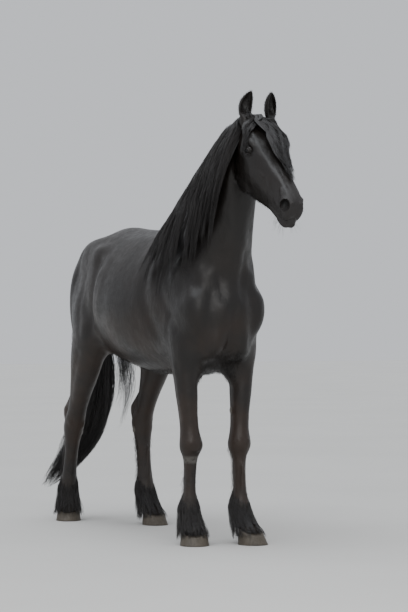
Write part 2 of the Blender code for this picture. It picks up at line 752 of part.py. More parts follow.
def lid_ring(side):
    """Both lids of an eye as one bent ring that lies on the eyeball."""
    centre, look, along, across = eye_frame(side)
    rings = []
    for i in range(18):
        angle = 2 * math.pi * i / 18
        upper = math.sin(angle) > 0
        reach = 33 if upper else 30
        spread = Vector((math.cos(angle) * 58, math.sin(angle) * reach))
        turn = math.radians(spread.length)
        aside = (along * spread.x + across * spread.y).normalized()
        out = look * math.cos(turn) + aside * math.sin(turn)
        on = centre + out * (EYE_RADIUS + 0.0012) * SCALE
        thick = (0.0058 if upper else 0.0048) * SCALE
        turns = [2 * math.pi * k / 6 for k in range(6)]
        rings.append([on + (aside * math.cos(a) + out * math.sin(a)) * thick for a in turns])
    bm = bmesh.new()
    made = [[bm.verts.new(point) for point in ring] for ring in rings]
    for ring, following in zip(made, made[1:] + made[:1]):
        for i in range(6):
            j = (i + 1) % 6
            bm.faces.new((ring[i], ring[j], following[j], following[i]))
    return object_of("lids", bm)


def ellipsoid(centre, ways, radii, name="ellipsoid", subdivisions=2):
    bm = bmesh.new()
    bmesh.ops.create_icosphere(bm, subdivisions=subdivisions, radius=1)
    for vert in bm.verts:
        sizes = [radius * part for radius, part in zip(radii, vert.co)]
        vert.co = centre + sum((axis * size for axis, size in zip(ways, sizes)), Vector())
    return object_of(name, bm)


def eye_opening(side):
    """What the lids leave open: the room of the eyeball, and the gap before it."""
    centre, look, along, across = eye_frame(side)
    ball = eye("room", side, None, EYE_RADIUS + 1.3 * GAP)
    front = centre + look * 0.026 * SCALE
    gap = ellipsoid(front, (look, along, across), (0.020 * SCALE, 0.0165 * SCALE, 0.0098 * SCALE))
    return [ball, gap]


def nostril_cutters():
    cutters = []
    for side in (-1, 1):
        centre = head_point(0.458, side * 0.048, -0.046)
        inward = (head_point(0.426, side * 0.010, -0.066) - centre).normalized()
        along = (head_point(0.486, side * 0.050, -0.080) - centre).normalized()
        across = inward.cross(along).normalized()
        along = across.cross(inward)
        cutters.append(ellipsoid(centre, (inward, along, across), (0.030, 0.026, 0.0175)))
    return cutters


# the line of the mouth: along, across and out, from the front to the corner
MOUTH = (
    (0.520, 0.000, -0.080),
    (0.514, 0.014, -0.086),
    (0.503, 0.026, -0.098),
    (0.488, 0.034, -0.108),
    (0.465, 0.040, -0.113),
    (0.440, 0.042, -0.114),
)


# across the strip that cuts the mouth: depth out of the lips, and height
MOUTH_SECTION = ((-0.010, -0.0012), (0.030, -0.0022), (0.030, 0.0022), (-0.010, 0.0012))


def mouth_cutter():
    """A thin curved strip that cuts the line of the mouth round the muzzle."""
    rows = smooth_rows(MOUTH, 2)
    line = [(along, -across, out) for along, across, out in rows[:0:-1]] + [tuple(row) for row in rows]
    rings = []
    for along, across, out in line:
        away = Vector((max(0.0, along - 0.44), across)).normalized()
        ring = []
        for depth, height in MOUTH_SECTION:
            ring.append(head_point(along + away.x * depth, across + away.y * depth, out + height))
        rings.append(ring)
    bm = bmesh.new()
    loft(bm, rings)
    return object_of("mouth_line", bm)


def lock_taper(share):
    """A lock's width at a share of its length: narrower at the root, widest above the middle."""
    return (0.70 + 0.30 * min(1.0, 4 * share)) * (1 - 0.90 * share**2.2)


def lock(path, outs, wide, thick):
    """A flat, tapered lock of four sides. outs are the ways out of its flat side along the path."""
    rings = []
    last = len(path) - 1
    for i, (point, outward) in enumerate(zip(path, outs)):
        share = i / last
        along = (path[min(last, i + 1)] - path[max(0, i - 1)]).normalized()
        out = (outward - along * outward.dot(along)).normalized()
        aside = along.cross(out) * wide * lock_taper(share) * SCALE
        lift = out * thick * (1 - 0.55 * share) * SCALE
        rings.append([point + aside, point + lift, point - aside, point - lift])
    bm = bmesh.new()
    loft(bm, rings)
    return object_of("lock", bm)


def tree_of(obj):
    bm = bmesh.new()
    bm.from_mesh(obj.data)
    tree = BVHTree.FromBMesh(bm)
    bm.free()
    return tree


def kept_out(point, trees, room):
    """The point, moved out until it is room away from each of the surfaces."""
    for tree in trees:
        near, normal, _, away = tree.find_nearest(point)
        if (point - near).dot(normal) < 0:
            away = -away
        if away < room:
            point = near + normal * room
    return point


def dock_rows(steps=4):
    """The tail's bone and its plain hair: forward, left, up, half width, half thickness."""
    return smooth_rows((
        (-1.47, 0.0, 1.375, 0.045, 0.045),
        (-1.54, 0.0, 1.370, 0.055, 0.050),
        (-1.590, 0.0, 1.300, 0.070, 0.055),
        (-1.615, 0.01, 1.180, 0.090, 0.060),
        (-1.635, 0.035, 1.000, 0.115, 0.065),
        (-1.660, 0.055, 0.800, 0.125, 0.065),
        (-1.690, 0.055, 0.600, 0.130, 0.060),
        (-1.725, 0.01, 0.420, 0.130, 0.050),
        (-1.765, -0.09, 0.265, 0.100, 0.038),
        (-1.795, -0.17, 0.165, 0.050, 0.020),
    ), steps)


def joined_hair(pieces, others):
    """The pieces of hair joined as one mesh, and cut back where they would cross the other nodes."""
    hair, *rest = pieces
    combine(hair, rest, "UNION", least=0.9)
    for other in others:
        larger = grown(other, HAIR_CLEAR)
        if tree_of(larger).overlap(tree_of(hair)):
            combine(hair, [larger], least=0.5)
        else:
            bpy.data.objects.remove(larger)
    return hair


def sunk(point, tree, depth):
    """The place under the surface nearest to the point."""
    near, normal, _, _ = tree.find_nearest(point)
    return near - normal * depth * SCALE


def tail_frame(down):
    """The tail's middle, way across, way back, half width and half thickness at a share of its fall."""
    rows = dock_rows()
    at = min(max(down, 0.0), 1.0) * (len(rows) - 1)
    low = min(int(at), len(rows) - 2)
    row = rows[low] + (rows[low + 1] - rows[low]) * (at - low)
    fall = (place(*rows[low + 1][:3]) - place(*rows[low][:3])).normalized()
    across = Vector((1, 0, 0))
    return place(*row[:3]), across, across.cross(fall).normalized(), row[3] * SCALE, row[4] * SCALE


def tail_core():
    """The dock and the dense hair round it, down to less than half of the tail's length."""
    rings = []
    for i in range(9):
        share = i / 8
        middle, across, back, wide, thick = tail_frame(TAIL_CORE * share)
        size = 0.86 - 0.42 * share**2
        ring = []
        for k in range(12):
            angle = 2 * math.pi * k / 12
            ring.append(middle + (across * wide * math.cos(angle) + back * thick * math.sin(angle)) * size)
        rings.append(ring)
    bm = bmesh.new()
    loft(bm, rings)
    return object_of("tail", bm)


def tail_locks(trees, draw):
    """Long locks from the dock, and between them shorter ones that come out of its lower end."""
    locks = []
    for i in range(TAIL_LOCKS):
        low = i % 2
        angle = 2 * math.pi * (i + draw.uniform(-0.2, 0.2)) / TAIL_LOCKS
        start = draw.uniform(0.24, 0.38) if low else draw.uniform(0.07, 0.16)
        end = draw.uniform(0.90, 1.0) if low else draw.uniform(0.74, 0.98)
        phase, swing = draw.uniform(0, 2 * math.pi), draw.uniform(-0.12, 0.12)
        path, outs = [], []
        steps = 6 if low else 7
        for k in range(steps):
            share = k / (steps - 1)
            middle, across, back, wide, thick = tail_frame(start + (end - start) * share)
            turn = angle + swing * share + 0.10 * math.sin(5 * share + phase)
            reach = 0.30 if k == 0 else (0.66 if low else 0.96) + 0.06 * math.sin(4 * share + phase)
            outward = across * math.cos(turn) / wide + back * math.sin(turn) / thick
            point = middle + (across * wide * math.cos(turn) + back * thick * math.sin(turn)) * reach
            path.append(point if k == 0 else kept_out(point, trees, 0.012 * SCALE))
            outs.append(outward.normalized())
        locks.append(lock(path, outs, TAIL_LOCK_WIDE, TAIL_LOCK_THICK))
    return locks


# roots on the crest, middles and tips of the mane from its front to its back: forward, left, up
MANE = (
    ((0.215, 0.0, 2.005), (0.180, -0.130, 1.790), (0.085, -0.175, 1.450)),
    ((0.060, 0.0, 1.975), (0.000, -0.145, 1.700), (-0.070, -0.200, 1.360)),
    ((-0.130, 0.0, 1.845), (-0.195, -0.165, 1.580), (-0.270, -0.240, 1.250)),
    ((-0.330, 0.0, 1.672), (-0.385, -0.130, 1.520), (-0.460, -0.230, 1.300)),
)


def mane_point(along, down):
    """A point of the mane's middle surface, by the share of the crest and the share of the fall."""
    columns = []
    for k in range(3):
        rows = smooth_rows([row[k] for row in MANE], 8)
        at = along * (len(rows) - 1)
        low = min(int(at), len(rows) - 2)
        columns.append(rows[low] + (rows[low + 1] - rows[low]) * (at - low))
    root, middle, tip = columns
    bulge = 2 * middle - 0.5 * (root + tip)
    return place(*((1 - down) ** 2 * root + 2 * down * (1 - down) * bulge + down**2 * tip))


def mane_out(along, down):
    """The way out of the mane's middle surface."""
    ahead = mane_point(min(1, along + 0.02), down) - mane_point(max(0, along - 0.02), down)
    fall = mane_point(along, down + 0.02) - mane_point(along, down - 0.02)
    out = ahead.cross(fall).normalized()
    return -out if out.x > 0 else out


def mane_core():
    """The dense hair along the crest, which ends before the middle of the locks."""
    rings = []
    for i in range(12):
        along = 0.02 + 0.96 * i / 11
        edge = math.sin(math.pi * min(max(along, 0.05), 0.95)) ** 0.4
        front, back = [], []
        for j in range(5):
            down = MANE_CORE * j / 4
            thick = (0.022 - 0.016 * j / 4) * edge * SCALE
            here, out = mane_point(along, down), mane_out(along, down)
            front.append(here + out * thick)
            back.append(here - out * thick)
        rings.append(front + back[::-1])
    bm = bmesh.new()
    loft(bm, rings)
    return object_of("mane", bm)


def mane_locks(trees, draw):
    """Locks from the crest in three layers that fall over the right side of the neck."""
    locks = []
    for i in range(MANE_LOCKS):
        layer = i % 3
        along = min(max((i + draw.uniform(0.2, 0.8)) / MANE_LOCKS, 0.012), 0.985)
        length = draw.uniform(0.92, 1.08) - 0.10 * layer
        drift, phase = draw.uniform(-0.035, 0.035), draw.uniform(0, 2 * math.pi)
        path, outs = [], []
        for share in (0.0, 0.09, 0.28, 0.52, 0.76, 1.0):
            across = along + drift * share + 0.018 * share * math.sin(7 * share + phase)
            out = mane_out(across, length * share)
            lift = 0.016 + 0.010 * layer + 0.004 * math.sin(6 * share + 2 * phase)
            lift += MANE_CREST_RISE * (1 - 1.6 * along) * max(0.0, 1 - 2.2 * abs(share - 0.14))
            point = mane_point(across, length * share) + out * lift * SCALE
            if share == 0:
                point = mane_point(along, 0) - Vector((0, 0, MANE_ROOT_DEPTH * SCALE))
            else:
                point = kept_out(point, trees, (0.008 + 0.010 * layer) * SCALE)
            path.append(point)
            outs.append(out)
        locks.append(lock(path, outs, MANE_LOCK_WIDE * draw.uniform(0.8, 1.15), MANE_LOCK_THICK))
    return locks


# the forelock's middle line: along, across, out of the face, half width
FORELOCK = (
    (-0.030, 0.000, -0.012, 0.020),
    (0.010, 0.010, 0.016, 0.036),
    (0.070, 0.024, 0.034, 0.052),
    (0.140, 0.030, 0.034, 0.058),
    (0.220, 0.028, 0.020, 0.044),
    (0.300, 0.026, 0.010, 0.028),
    (0.365, 0.020, 0.004, 0.014),
    (0.400, 0.012, 0.000, 0.005),
)


def forelock_locks(trees, draw):
    """Locks from between the ears that fall over the left half of the face."""
    rows = smooth_rows(FORELOCK, 6)
    locks = []
    for i in range(FORELOCK_LOCKS):
        aside = 2 * i / (FORELOCK_LOCKS - 1) - 1
        length = 1.0 - 0.35 * abs(aside) - draw.uniform(0, 0.12)
        phase = draw.uniform(0, 2 * math.pi)
        path, outs = [], []
        for share in (0.0, 0.12, 0.34, 0.58, 0.80, 1.0):
            along, across, out, wide = rows[int(round(share * length * (len(rows) - 1)))]
            slant = across / 0.06
            spread = aside * wide * (0.80 + 0.08 * math.sin(5 * share + phase))
            point = head_point(along, across + spread, out - 0.55 * slant * spread)
            outward = head_point(0, 0.55 * slant + 4 * spread, 1) - head_point(0, 0, 0)
            room = 0.005 + 0.008 * (i % 2) + 0.014 * max(0.0, aside) * math.sin(math.pi * share)
            path.append(kept_out(point, trees, room * SCALE) if share else sunk(point, trees[0], 0.014))
            outs.append(outward)
        locks.append(lock(path, outs, FORELOCK_LOCK_WIDE, FORELOCK_LOCK_THICK))
    return locks


def feather_locks(leg, trees, draw):
    """The long hair from the back and sides of a fetlock, down over the heels."""
    fetlock, foot = Vector(leg["fetlock"]), Vector(leg["hoof"])
    ahead = Vector((math.cos(leg["turn"]), math.sin(leg["turn"]), 0))
    left = Vector((-ahead.y, ahead.x, 0))
    locks = []
    for i in range(FEATHER_LOCKS):
        aside = 2 * i / (FEATHER_LOCKS - 1) - 1
        angle = FEATHER_SPREAD * aside + draw.uniform(-0.08, 0.08)
        away = left * math.sin(angle) - ahead * math.cos(angle)
        high = fetlock.z + 0.085 - 0.045 * abs(aside) + draw.uniform(-0.008, 0.008)
        low = 0.016 + 0.030 * abs(aside) + draw.uniform(0, 0.014)
        layer = i % 2
        path, outs = [], []
        for share, room in ((0.0, 0.0), (0.2, 0.002), (0.45, 0.007), (0.72, 0.008), (1.0, 0.007)):
            up = high + (low - high) * share
            middle = fetlock.lerp(foot, min(1.0, max(0.0, 1 - up / fetlock.z)) * 0.8)
            middle.z = up
            sway = 0.006 * math.sin(8 * share + 2.4 * i)
            point = place(*(middle + away * (0.030 + 0.022 * share) + left * sway))
            if share == 0:
                path.append(place(*(middle + away * 0.012)))
            else:
                path.append(kept_out(point, trees, room * (1 + 0.8 * layer) * SCALE))
            outs.append(place(*(middle + away)) - place(*middle))
        locks.append(lock(path, outs, FEATHER_LOCK_WIDE, FEATHER_LOCK_THICK))
    return locks


def material_of(name, colour, roughness, metallic=0.0):
    material = bpy.data.materials.new(name)
    material.use_nodes = True
    shader = material.node_tree.nodes["Principled BSDF"]
    shader.inputs["Base Color"].default_value = (*colour, 1)
    shader.inputs["Roughness"].default_value = roughness
    shader.inputs["Metallic"].default_value = metallic
    return material


def node_of(part):
    """The node's name for one piece of the parted flesh, or nothing for a scrap or the head."""
    corners = np.array([vert.co for vert in part.verts])
    low, high = corners.min(0) / SCALE, corners.max(0) / SCALE
    left, y, up = (low + high) / 2
    forward = MIDDLE_FORWARD - y
    if high[2] - low[2] < 0.02 or (low[2] > 1.55 and forward > 0.25):
        return None
    if high[2] < 0.9:
        level = "upper" if up > 0.5 else "lower"
        return f"{'fore' if forward > -0.6 else 'hind'}_leg_{level}_{'right' if left < 0 else 'left'}"
    return "neck" if low[2] > 0.95 and forward > -0.2 else "torso"


def parted_body(coat, leg_coat):
    """The neck, torso and legs, parted by thin cuts, as a dictionary of objects by name."""
    masses = (
        add_trunk, add_neck, add_head, add_head_masses, add_body_muscles, add_hock_points, add_legs
    )
    body = thin_out(flesh_of(masses, VOXEL, 70), FLESH_TRIANGLES)
    tree = tree_of(body)
    combine(body, flesh_slabs())
    nodes = {}
    for part in bodies_of(body):
        name = node_of(part)
        if name is None or name in nodes:
            part.free()
            continue
        nodes[name] = object_of(name, part, leg_coat if "lower" in name else coat)
    bpy.data.objects.remove(body)
    return nodes, tree


def finished_head(coat, eye_material, draw):
    """The head with its lids, nostrils, mouth and forelock, then the ears and the eyes."""
    masses = (add_neck, add_head, add_head_masses, add_ear_stubs)
    head = thin_out(flesh_of(masses, HEAD_VOXEL, 0), HEAD_TRIANGLES)
    head.name = "head"
    head.data.materials.append(coat)
    tree = tree_of(head)
    combine(head, [curtain(HEAD_CUT, behind=0.9)])
    keep_largest(head)
    cutters = [*nostril_cutters(), mouth_cutter()]
    nodes = {"head": head}
    for side, name in ((-1, "right"), (1, "left")):
        base, axis, _, _ = ear_frame(side)
        above = base + axis * (EAR_SEAT + EAR_ROOM / 2) * SCALE
        cutters.append(slab(above, axis, (0.085, 0.085), EAR_ROOM * SCALE))
        cutters += eye_opening(side)
        nodes[f"ear_{name}"] = ear(f"ear_{name}", side, coat)
        nodes[f"eye_{name}"] = eye(f"eye_{name}", side, eye_material)
    combine(head, [lid_ring(-1), lid_ring(1)], "UNION")
    combine(head, cutters)
    others = [nodes[name] for name in nodes if name != "head"]
    combine(head, [joined_hair(forelock_locks([tree], draw), others)], "UNION")
    keep_largest(head)
    return nodes


def main():
    for obj in list(bpy.data.objects):
        bpy.data.objects.remove(obj)
    draw = random.Random(7)
    coat = material_of("coat", (0.012, 0.011, 0.012), 0.34)
    leg_coat = material_of("leg_coat", (0.018, 0.017, 0.017), 0.50)
    hair = material_of("hair", (0.016, 0.015, 0.017), 0.45)
    horn = material_of("horn", (0.30, 0.25, 0.19), 0.75)
    eye_material = material_of("eye", (0.010, 0.007, 0.006), 0.08)

    nodes, flesh = parted_body(coat, leg_coat)
    nodes.update(finished_head(coat, eye_material, draw))

    for end, legs, sizes in (("fore", FORE_LEGS, FORE_HOOF), ("hind", HIND_LEGS, HIND_HOOF)):
        for side, leg in legs.items():
            lower = nodes[f"{end}_leg_lower_{side}"]
            foot = hoof(f"{end}_hoof_{side}", leg, *sizes, horn)
            nodes[foot.name] = foot
            centre, up, _, _ = coronet_frame(leg)
            combine(lower, [slab(centre - up * 0.1, up, (0.5, 0.5), 0.2)])
            keep_largest(lower)
            feather = feather_locks(leg, [flesh, tree_of(foot)], draw)
            combine(lower, [joined_hair(feather, [foot])], "UNION")
            keep_largest(lower)

    tail = joined_hair([tail_core(), *tail_locks([flesh], draw)], [nodes["torso"]])
    tail.data.materials.append(hair)
    nodes["tail"] = keep_largest(tail)

    mane = joined_hair([mane_core(), *mane_locks([flesh], draw)], [nodes["torso"], nodes["head"]])
    combine(nodes["neck"], [mane], "UNION")
    keep_largest(nodes["neck"])

    for name, obj in nodes.items():
        obj.name = name
        shade(obj, 50)


main()
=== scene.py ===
# Friesian horse, still and life size: skin, coat, mane, forelock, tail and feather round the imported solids.
import math

import bmesh
import bpy
import numpy as np
from mathutils import Matrix, Vector
from mathutils.bvhtree import BVHTree


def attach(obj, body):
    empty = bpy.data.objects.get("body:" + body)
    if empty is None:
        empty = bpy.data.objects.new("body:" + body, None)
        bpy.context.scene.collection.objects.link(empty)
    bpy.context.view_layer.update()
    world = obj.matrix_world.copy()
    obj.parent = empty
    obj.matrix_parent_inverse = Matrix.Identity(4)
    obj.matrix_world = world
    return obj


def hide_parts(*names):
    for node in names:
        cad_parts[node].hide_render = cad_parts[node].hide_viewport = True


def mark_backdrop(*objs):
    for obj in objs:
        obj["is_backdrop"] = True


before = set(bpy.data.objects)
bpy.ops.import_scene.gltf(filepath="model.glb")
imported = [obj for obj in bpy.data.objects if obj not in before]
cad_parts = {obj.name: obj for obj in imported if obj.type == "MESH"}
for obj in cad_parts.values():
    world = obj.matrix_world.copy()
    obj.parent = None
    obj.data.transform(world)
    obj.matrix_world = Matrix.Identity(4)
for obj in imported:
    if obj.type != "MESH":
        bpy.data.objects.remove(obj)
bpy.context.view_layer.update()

# places are written as (forward, left, up) in metres from the floor under the breast
body = {
    "middleForward": -0.585,  # the middle of the box round the horse
    "coarseVoxel": 0.008,     # grows the broad masses together
    "broadTurns": 90,         # smoothing of the trunk's muscles
    "fineVoxel": 0.0042,
    "skinVoxel": 0.0117,
    "coatDepth": 0.0015,      # how far the skin lies inside the solids
}


def place(forward, left, up):
    return Vector((left, body["middleForward"] - forward, up))


# The same for whole arrays of numbers.
def places(forward, left, up):
    forward, left, up = np.broadcast_arrays(forward, left, up)
    return np.stack([left, body["middleForward"] - forward, up], -1)


ringSteps = 3

# the head hangs from the poll: its own axes run down the face, left, and out of the face
poll = (0.27, 0.0, 1.98)
headPitch = math.radians(46.4)
headTurn = math.radians(2.1)
headSize = 1.068
eyePlace = (0.138, 0.0760, -0.040)
eyeRadius = 0.0205

# the shares of a section's height, from its top, that its five half widths stand at
trunkLevels = (0.07, 0.28, 0.55, 0.80, 0.95)
headLevels = (0.05, 0.25, 0.50, 0.75, 0.94)

# forward, top, bottom, half widths
trunkRows = (
    (-1.535, 1.30, 1.14, 0.03, 0.06, 0.07, 0.06, 0.03),
    (-1.50, 1.375, 1.04, 0.050, 0.10, 0.135, 0.12, 0.06),
    (-1.42, 1.435, 0.96, 0.066, 0.135, 0.180, 0.16, 0.08),
    (-1.32, 1.495, 0.92, 0.08, 0.172, 0.218, 0.19, 0.10),
    (-1.20, 1.548, 0.895, 0.10, 0.200, 0.235, 0.19, 0.11),
    (-1.08, 1.56, 0.86, 0.11, 0.218, 0.250, 0.205, 0.10),
    (-0.92, 1.542, 0.83, 0.12, 0.242, 0.286, 0.225, 0.10),
    (-0.75, 1.532, 0.805, 0.12, 0.25, 0.303, 0.25, 0.12),
    (-0.60, 1.54, 0.80, 0.095, 0.23, 0.295, 0.245, 0.12),
    (-0.45, 1.59, 0.80, 0.06, 0.195, 0.265, 0.225, 0.11),
    (-0.30, 1.60, 0.80, 0.045, 0.165, 0.235, 0.20, 0.10),
    (-0.16, 1.52, 0.82, 0.06, 0.155, 0.215, 0.17, 0.08),
    (-0.06, 1.40, 0.89, 0.06, 0.14, 0.18, 0.14, 0.07),
    (0.015, 1.27, 0.99, 0.05, 0.10, 0.13, 0.10, 0.055),
    (0.045, 1.20, 1.09, 0.02, 0.05, 0.06, 0.05, 0.02),
)

# crest (forward, up), underside (forward, up), half widths
neckRows = (
    (-0.62, 1.50, -0.25, 0.98, 0.05, 0.14, 0.18, 0.15, 0.08),
    (-0.46, 1.595, -0.08, 1.10, 0.045, 0.125, 0.175, 0.155, 0.09),
    (-0.30, 1.695, 0.02, 1.25, 0.036, 0.105, 0.15, 0.14, 0.08),
    (-0.13, 1.835, 0.075, 1.40, 0.034, 0.088, 0.12, 0.112, 0.062),
    (0.01, 1.938, 0.112, 1.535, 0.034, 0.078, 0.100, 0.094, 0.052),
    (0.115, 2.000, 0.134, 1.64, 0.034, 0.070, 0.088, 0.082, 0.048),
    (0.205, 2.005, 0.160, 1.735, 0.034, 0.062, 0.075, 0.068, 0.04),
    (0.285, 1.965, 0.232, 1.82, 0.030, 0.050, 0.060, 0.055, 0.035),
)

# along the face, top, bottom, half widths
headRows = (
    (-0.045, -0.03, -0.15, 0.025, 0.045, 0.05, 0.045, 0.02),
    (-0.01, -0.002, -0.19, 0.044, 0.064, 0.066, 0.056, 0.03),
    (0.035, 0.013, -0.220, 0.056, 0.076, 0.074, 0.062, 0.034),
    (0.088, 0.021, -0.243, 0.062, 0.087, 0.079, 0.068, 0.036),
    (0.137, 0.022, -0.250, 0.062, 0.092, 0.082, 0.071, 0.036),
    (0.185, 0.016, -0.247, 0.056, 0.085, 0.082, 0.067, 0.034),
    (0.238, 0.008, -0.230, 0.047, 0.071, 0.077, 0.057, 0.030),
    (0.29, 0.003, -0.208, 0.040, 0.058, 0.064, 0.047, 0.027),
    (0.345, 0.002, -0.184, 0.036, 0.049, 0.053, 0.041, 0.026),
    (0.40, 0.002, -0.162, 0.033, 0.045, 0.047, 0.038, 0.025),
    (0.443, 0.000, -0.150, 0.033, 0.047, 0.046, 0.037, 0.023),
    (0.478, -0.008, -0.138, 0.034, 0.049, 0.048, 0.037, 0.023),
    (0.501, -0.028, -0.128, 0.029, 0.041, 0.042, 0.033, 0.021),
    (0.515, -0.052, -0.112, 0.017, 0.027, 0.029, 0.022, 0.012),
)

# joints as (forward, left, up), and how far the foot turns to the left
foreLegs = {
    "right": {
        "elbow": (-0.19, -0.160, 0.93),
        "knee": (-0.155, -0.128, 0.475),
        "fetlock": (-0.180, -0.124, 0.160),
        "hoof": (-0.115, -0.128, 0.0),
        "turn": math.radians(-20),
    },
    "left": {
        "elbow": (-0.19, 0.160, 0.93),
        "knee": (-0.155, 0.132, 0.475),
        "fetlock": (-0.135, 0.130, 0.160),
        "hoof": (-0.030, 0.140, 0.0),
        "turn": math.radians(14),
    },
}

hindLegs = {
    "right": {
        "stifle": (-1.16, -0.180, 0.93),
        "hock": (-1.49, -0.145, 0.535),
        "fetlock": (-1.585, -0.140, 0.160),
        "hoof": (-1.555, -0.150, 0.0),
        "turn": math.radians(-25),
    },
    "left": {
        "stifle": (-1.05, 0.180, 0.94),
        "hock": (-1.275, 0.150, 0.550),
        "fetlock": (-1.225, 0.150, 0.160),
        "hoof": (-1.125, 0.155, 0.0),
        "turn": math.radians(8),
    },
}

# from this joint to that one, share of the way, half depth, half width, how far ahead of the bone
foreSections = (
    ("elbow", "knee", -0.45, 0.115, 0.050, 0.02),
    ("elbow", "knee", -0.18, 0.112, 0.062, 0.01),
    ("elbow", "knee", 0.05, 0.098, 0.066, 0.0),
    ("elbow", "knee", 0.25, 0.076, 0.061, 0.010),
    ("elbow", "knee", 0.50, 0.060, 0.054, 0.008),
    ("elbow", "knee", 0.78, 0.050, 0.046, 0.002),
    ("elbow", "knee", 0.91, 0.052, 0.052, 0.003),
    ("elbow", "knee", 1.00, 0.058, 0.059, 0.004),
    ("knee", "fetlock", 0.10, 0.050, 0.052, 0.0),
    ("knee", "fetlock", 0.22, 0.038, 0.036, -0.002),
    ("knee", "fetlock", 0.50, 0.037, 0.030, -0.002),
    ("knee", "fetlock", 0.72, 0.040, 0.032, -0.002),
    ("knee", "fetlock", 0.88, 0.048, 0.042, -0.003),
    ("knee", "fetlock", 1.00, 0.054, 0.047, -0.004),
    ("fetlock", "hoof", 0.25, 0.045, 0.041, 0.0),
    ("fetlock", "hoof", 0.42, 0.045, 0.046, -0.004),
    ("fetlock", "hoof", 0.60, 0.060, 0.060, -0.010),
    ("fetlock", "hoof", 0.80, 0.066, 0.064, -0.018),
)

hindSections = (
    ("stifle", "hock", -0.35, 0.165, 0.065, -0.09),
    ("stifle", "hock", -0.10, 0.160, 0.082, -0.07),
    ("stifle", "hock", 0.15, 0.140, 0.080, -0.045),
    ("stifle", "hock", 0.40, 0.107, 0.068, -0.02),
    ("stifle", "hock", 0.62, 0.078, 0.056, -0.01),
    ("stifle", "hock", 0.82, 0.066, 0.049, 0.0),
    ("stifle", "hock", 1.00, 0.072, 0.053, 0.005),
    ("hock", "fetlock", 0.12, 0.066, 0.053, 0.0),
    ("hock", "fetlock", 0.26, 0.052, 0.044, -0.002),
    ("hock", "fetlock", 0.45, 0.044, 0.037, -0.002),
    ("hock", "fetlock", 0.70, 0.045, 0.038, -0.002),
    ("hock", "fetlock", 0.88, 0.052, 0.045, -0.003),
    ("hock", "fetlock", 1.00, 0.057, 0.049, -0.004),
    ("fetlock", "hoof", 0.25, 0.048, 0.044, 0.0),
    ("fetlock", "hoof", 0.42, 0.047, 0.047, -0.004),
    ("fetlock", "hoof", 0.60, 0.060, 0.059, -0.010),
    ("fetlock", "hoof", 0.80, 0.065, 0.062, -0.018),
)


# The point or points at (along the face, left, out of the face) from the poll.
def headPlaces(along, across, out):
    along, across, out = headSize * along, headSize * across, headSize * out
    forward = along * math.cos(headPitch) + out * math.sin(headPitch)
    up = -along * math.sin(headPitch) + out * math.cos(headPitch)
    turned = forward * math.cos(headTurn) - across * math.sin(headTurn)
    left = forward * math.sin(headTurn) + across * math.cos(headTurn)
    return places(poll[0] + turned, poll[1] + left, poll[2] + up)


def headPoint(along, across, out):
    return Vector(headPlaces(along, across, out))


hoofHeight = 0.066
coronetTilt = math.radians(22)


# The rows of numbers with steps - 1 more between each two, on a smooth curve.
def smoothRows(rows, steps):
    rows = np.array(rows, float)
    padded = np.vstack([2 * rows[0] - rows[1], rows, 2 * rows[-1] - rows[-2]])
    made = []
    for i in range(1, len(padded) - 2):
        p0, p1, p2, p3 = padded[i - 1 : i + 3]
        for t in np.arange(steps) / steps:
            made.append(
                0.5 * (2 * p1 + (p2 - p0) * t + (2 * p0 - 5 * p1 + 4 * p2 - p3) * t**2
                       + (3 * p1 - p0 - 3 * p2 + p3) * t**3)
            )
    made.append(rows[-1])
    return np.array(made)


# A section's points as (across, up): down one side from the top and back up the other.
def outline(top, bottom, widths, levels):
    height = top - bottom
    side = [(w, top - share * height) for w, share in zip(widths, levels)]
    other = [(-w, up) for w, up in reversed(side)]
    corners = [(0.0, top), *side, (0.0, bottom), *other]
    closed = [corners[-1], *corners, corners[0], corners[1]]
    return smoothRows(closed, ringSteps)[ringSteps : -2 * ringSteps]


# A closed skin through the rings, each a list of points.
def loft(bm, rings):
    made = []
    for points in rings:
        verts = bmesh.ops.create_circle(bm, cap_ends=False, segments=len(points), radius=1)["verts"]
        for vert, point in zip(verts, points):
            vert.co = point
        made.append(verts)
    for lower, upper in zip(made, made[1:]):
        count = len(lower)
        for i in range(count):
            j = (i + 1) % count
            bm.faces.new((lower[i], lower[j], upper[j], upper[i]))
    bm.faces.new(list(reversed(made[0])))
    bm.faces.new(made[-1])


# A new object of the scene with this data.
def linked(name, data):
    obj = bpy.data.objects.new(name, data)
    bpy.context.scene.collection.objects.link(obj)
    return obj


# A new object that takes bm as its mesh, with its faces turned outwards.
def objectOf(name, bm):
    bmesh.ops.recalc_face_normals(bm, faces=bm.faces)
    if bm.calc_volume(signed=True) < 0:
        bmesh.ops.reverse_faces(bm, faces=bm.faces)
    mesh = bpy.data.meshes.new(name)
    bm.to_mesh(mesh)
    bm.free()
    return linked(name, mesh)


def lofted(name, rings):
    bm = bmesh.new()
    loft(bm, rings)
    return objectOf(name, bm)


def smoothShaded(obj):
    for face in obj.data.polygons:
        face.use_smooth = True
    return obj


# Applies the object's modifiers.
def settle(obj):
    graph = bpy.context.evaluated_depsgraph_get()
    mesh = bpy.data.meshes.new_from_object(obj.evaluated_get(graph))
    obj.modifiers.clear()
    old = obj.data
    obj.data = mesh
    bpy.data.meshes.remove(old)
    return obj


def addTrunk(bm):
    rings = []
    for row in smoothRows(trunkRows, 3):
        forward, top, bottom, *widths = row
        points = outline(top, bottom, widths, trunkLevels)
        rings.append([place(forward, across, up) for across, up in points])
    loft(bm, rings)


def addNeck(bm):
    rings = []
    for row in smoothRows(neckRows, 4):
        crest, under, widths = Vector(row[:2]), Vector(row[2:4]), row[4:]
        upAxis = (crest - under).normalized()
        points = outline((crest - under).length, 0.0, widths, trunkLevels)
        ring = []
        for across, up in points:
            forward, height = under + upAxis * up
            ring.append(place(forward, across, height))
        rings.append(ring)
    loft(bm, rings)


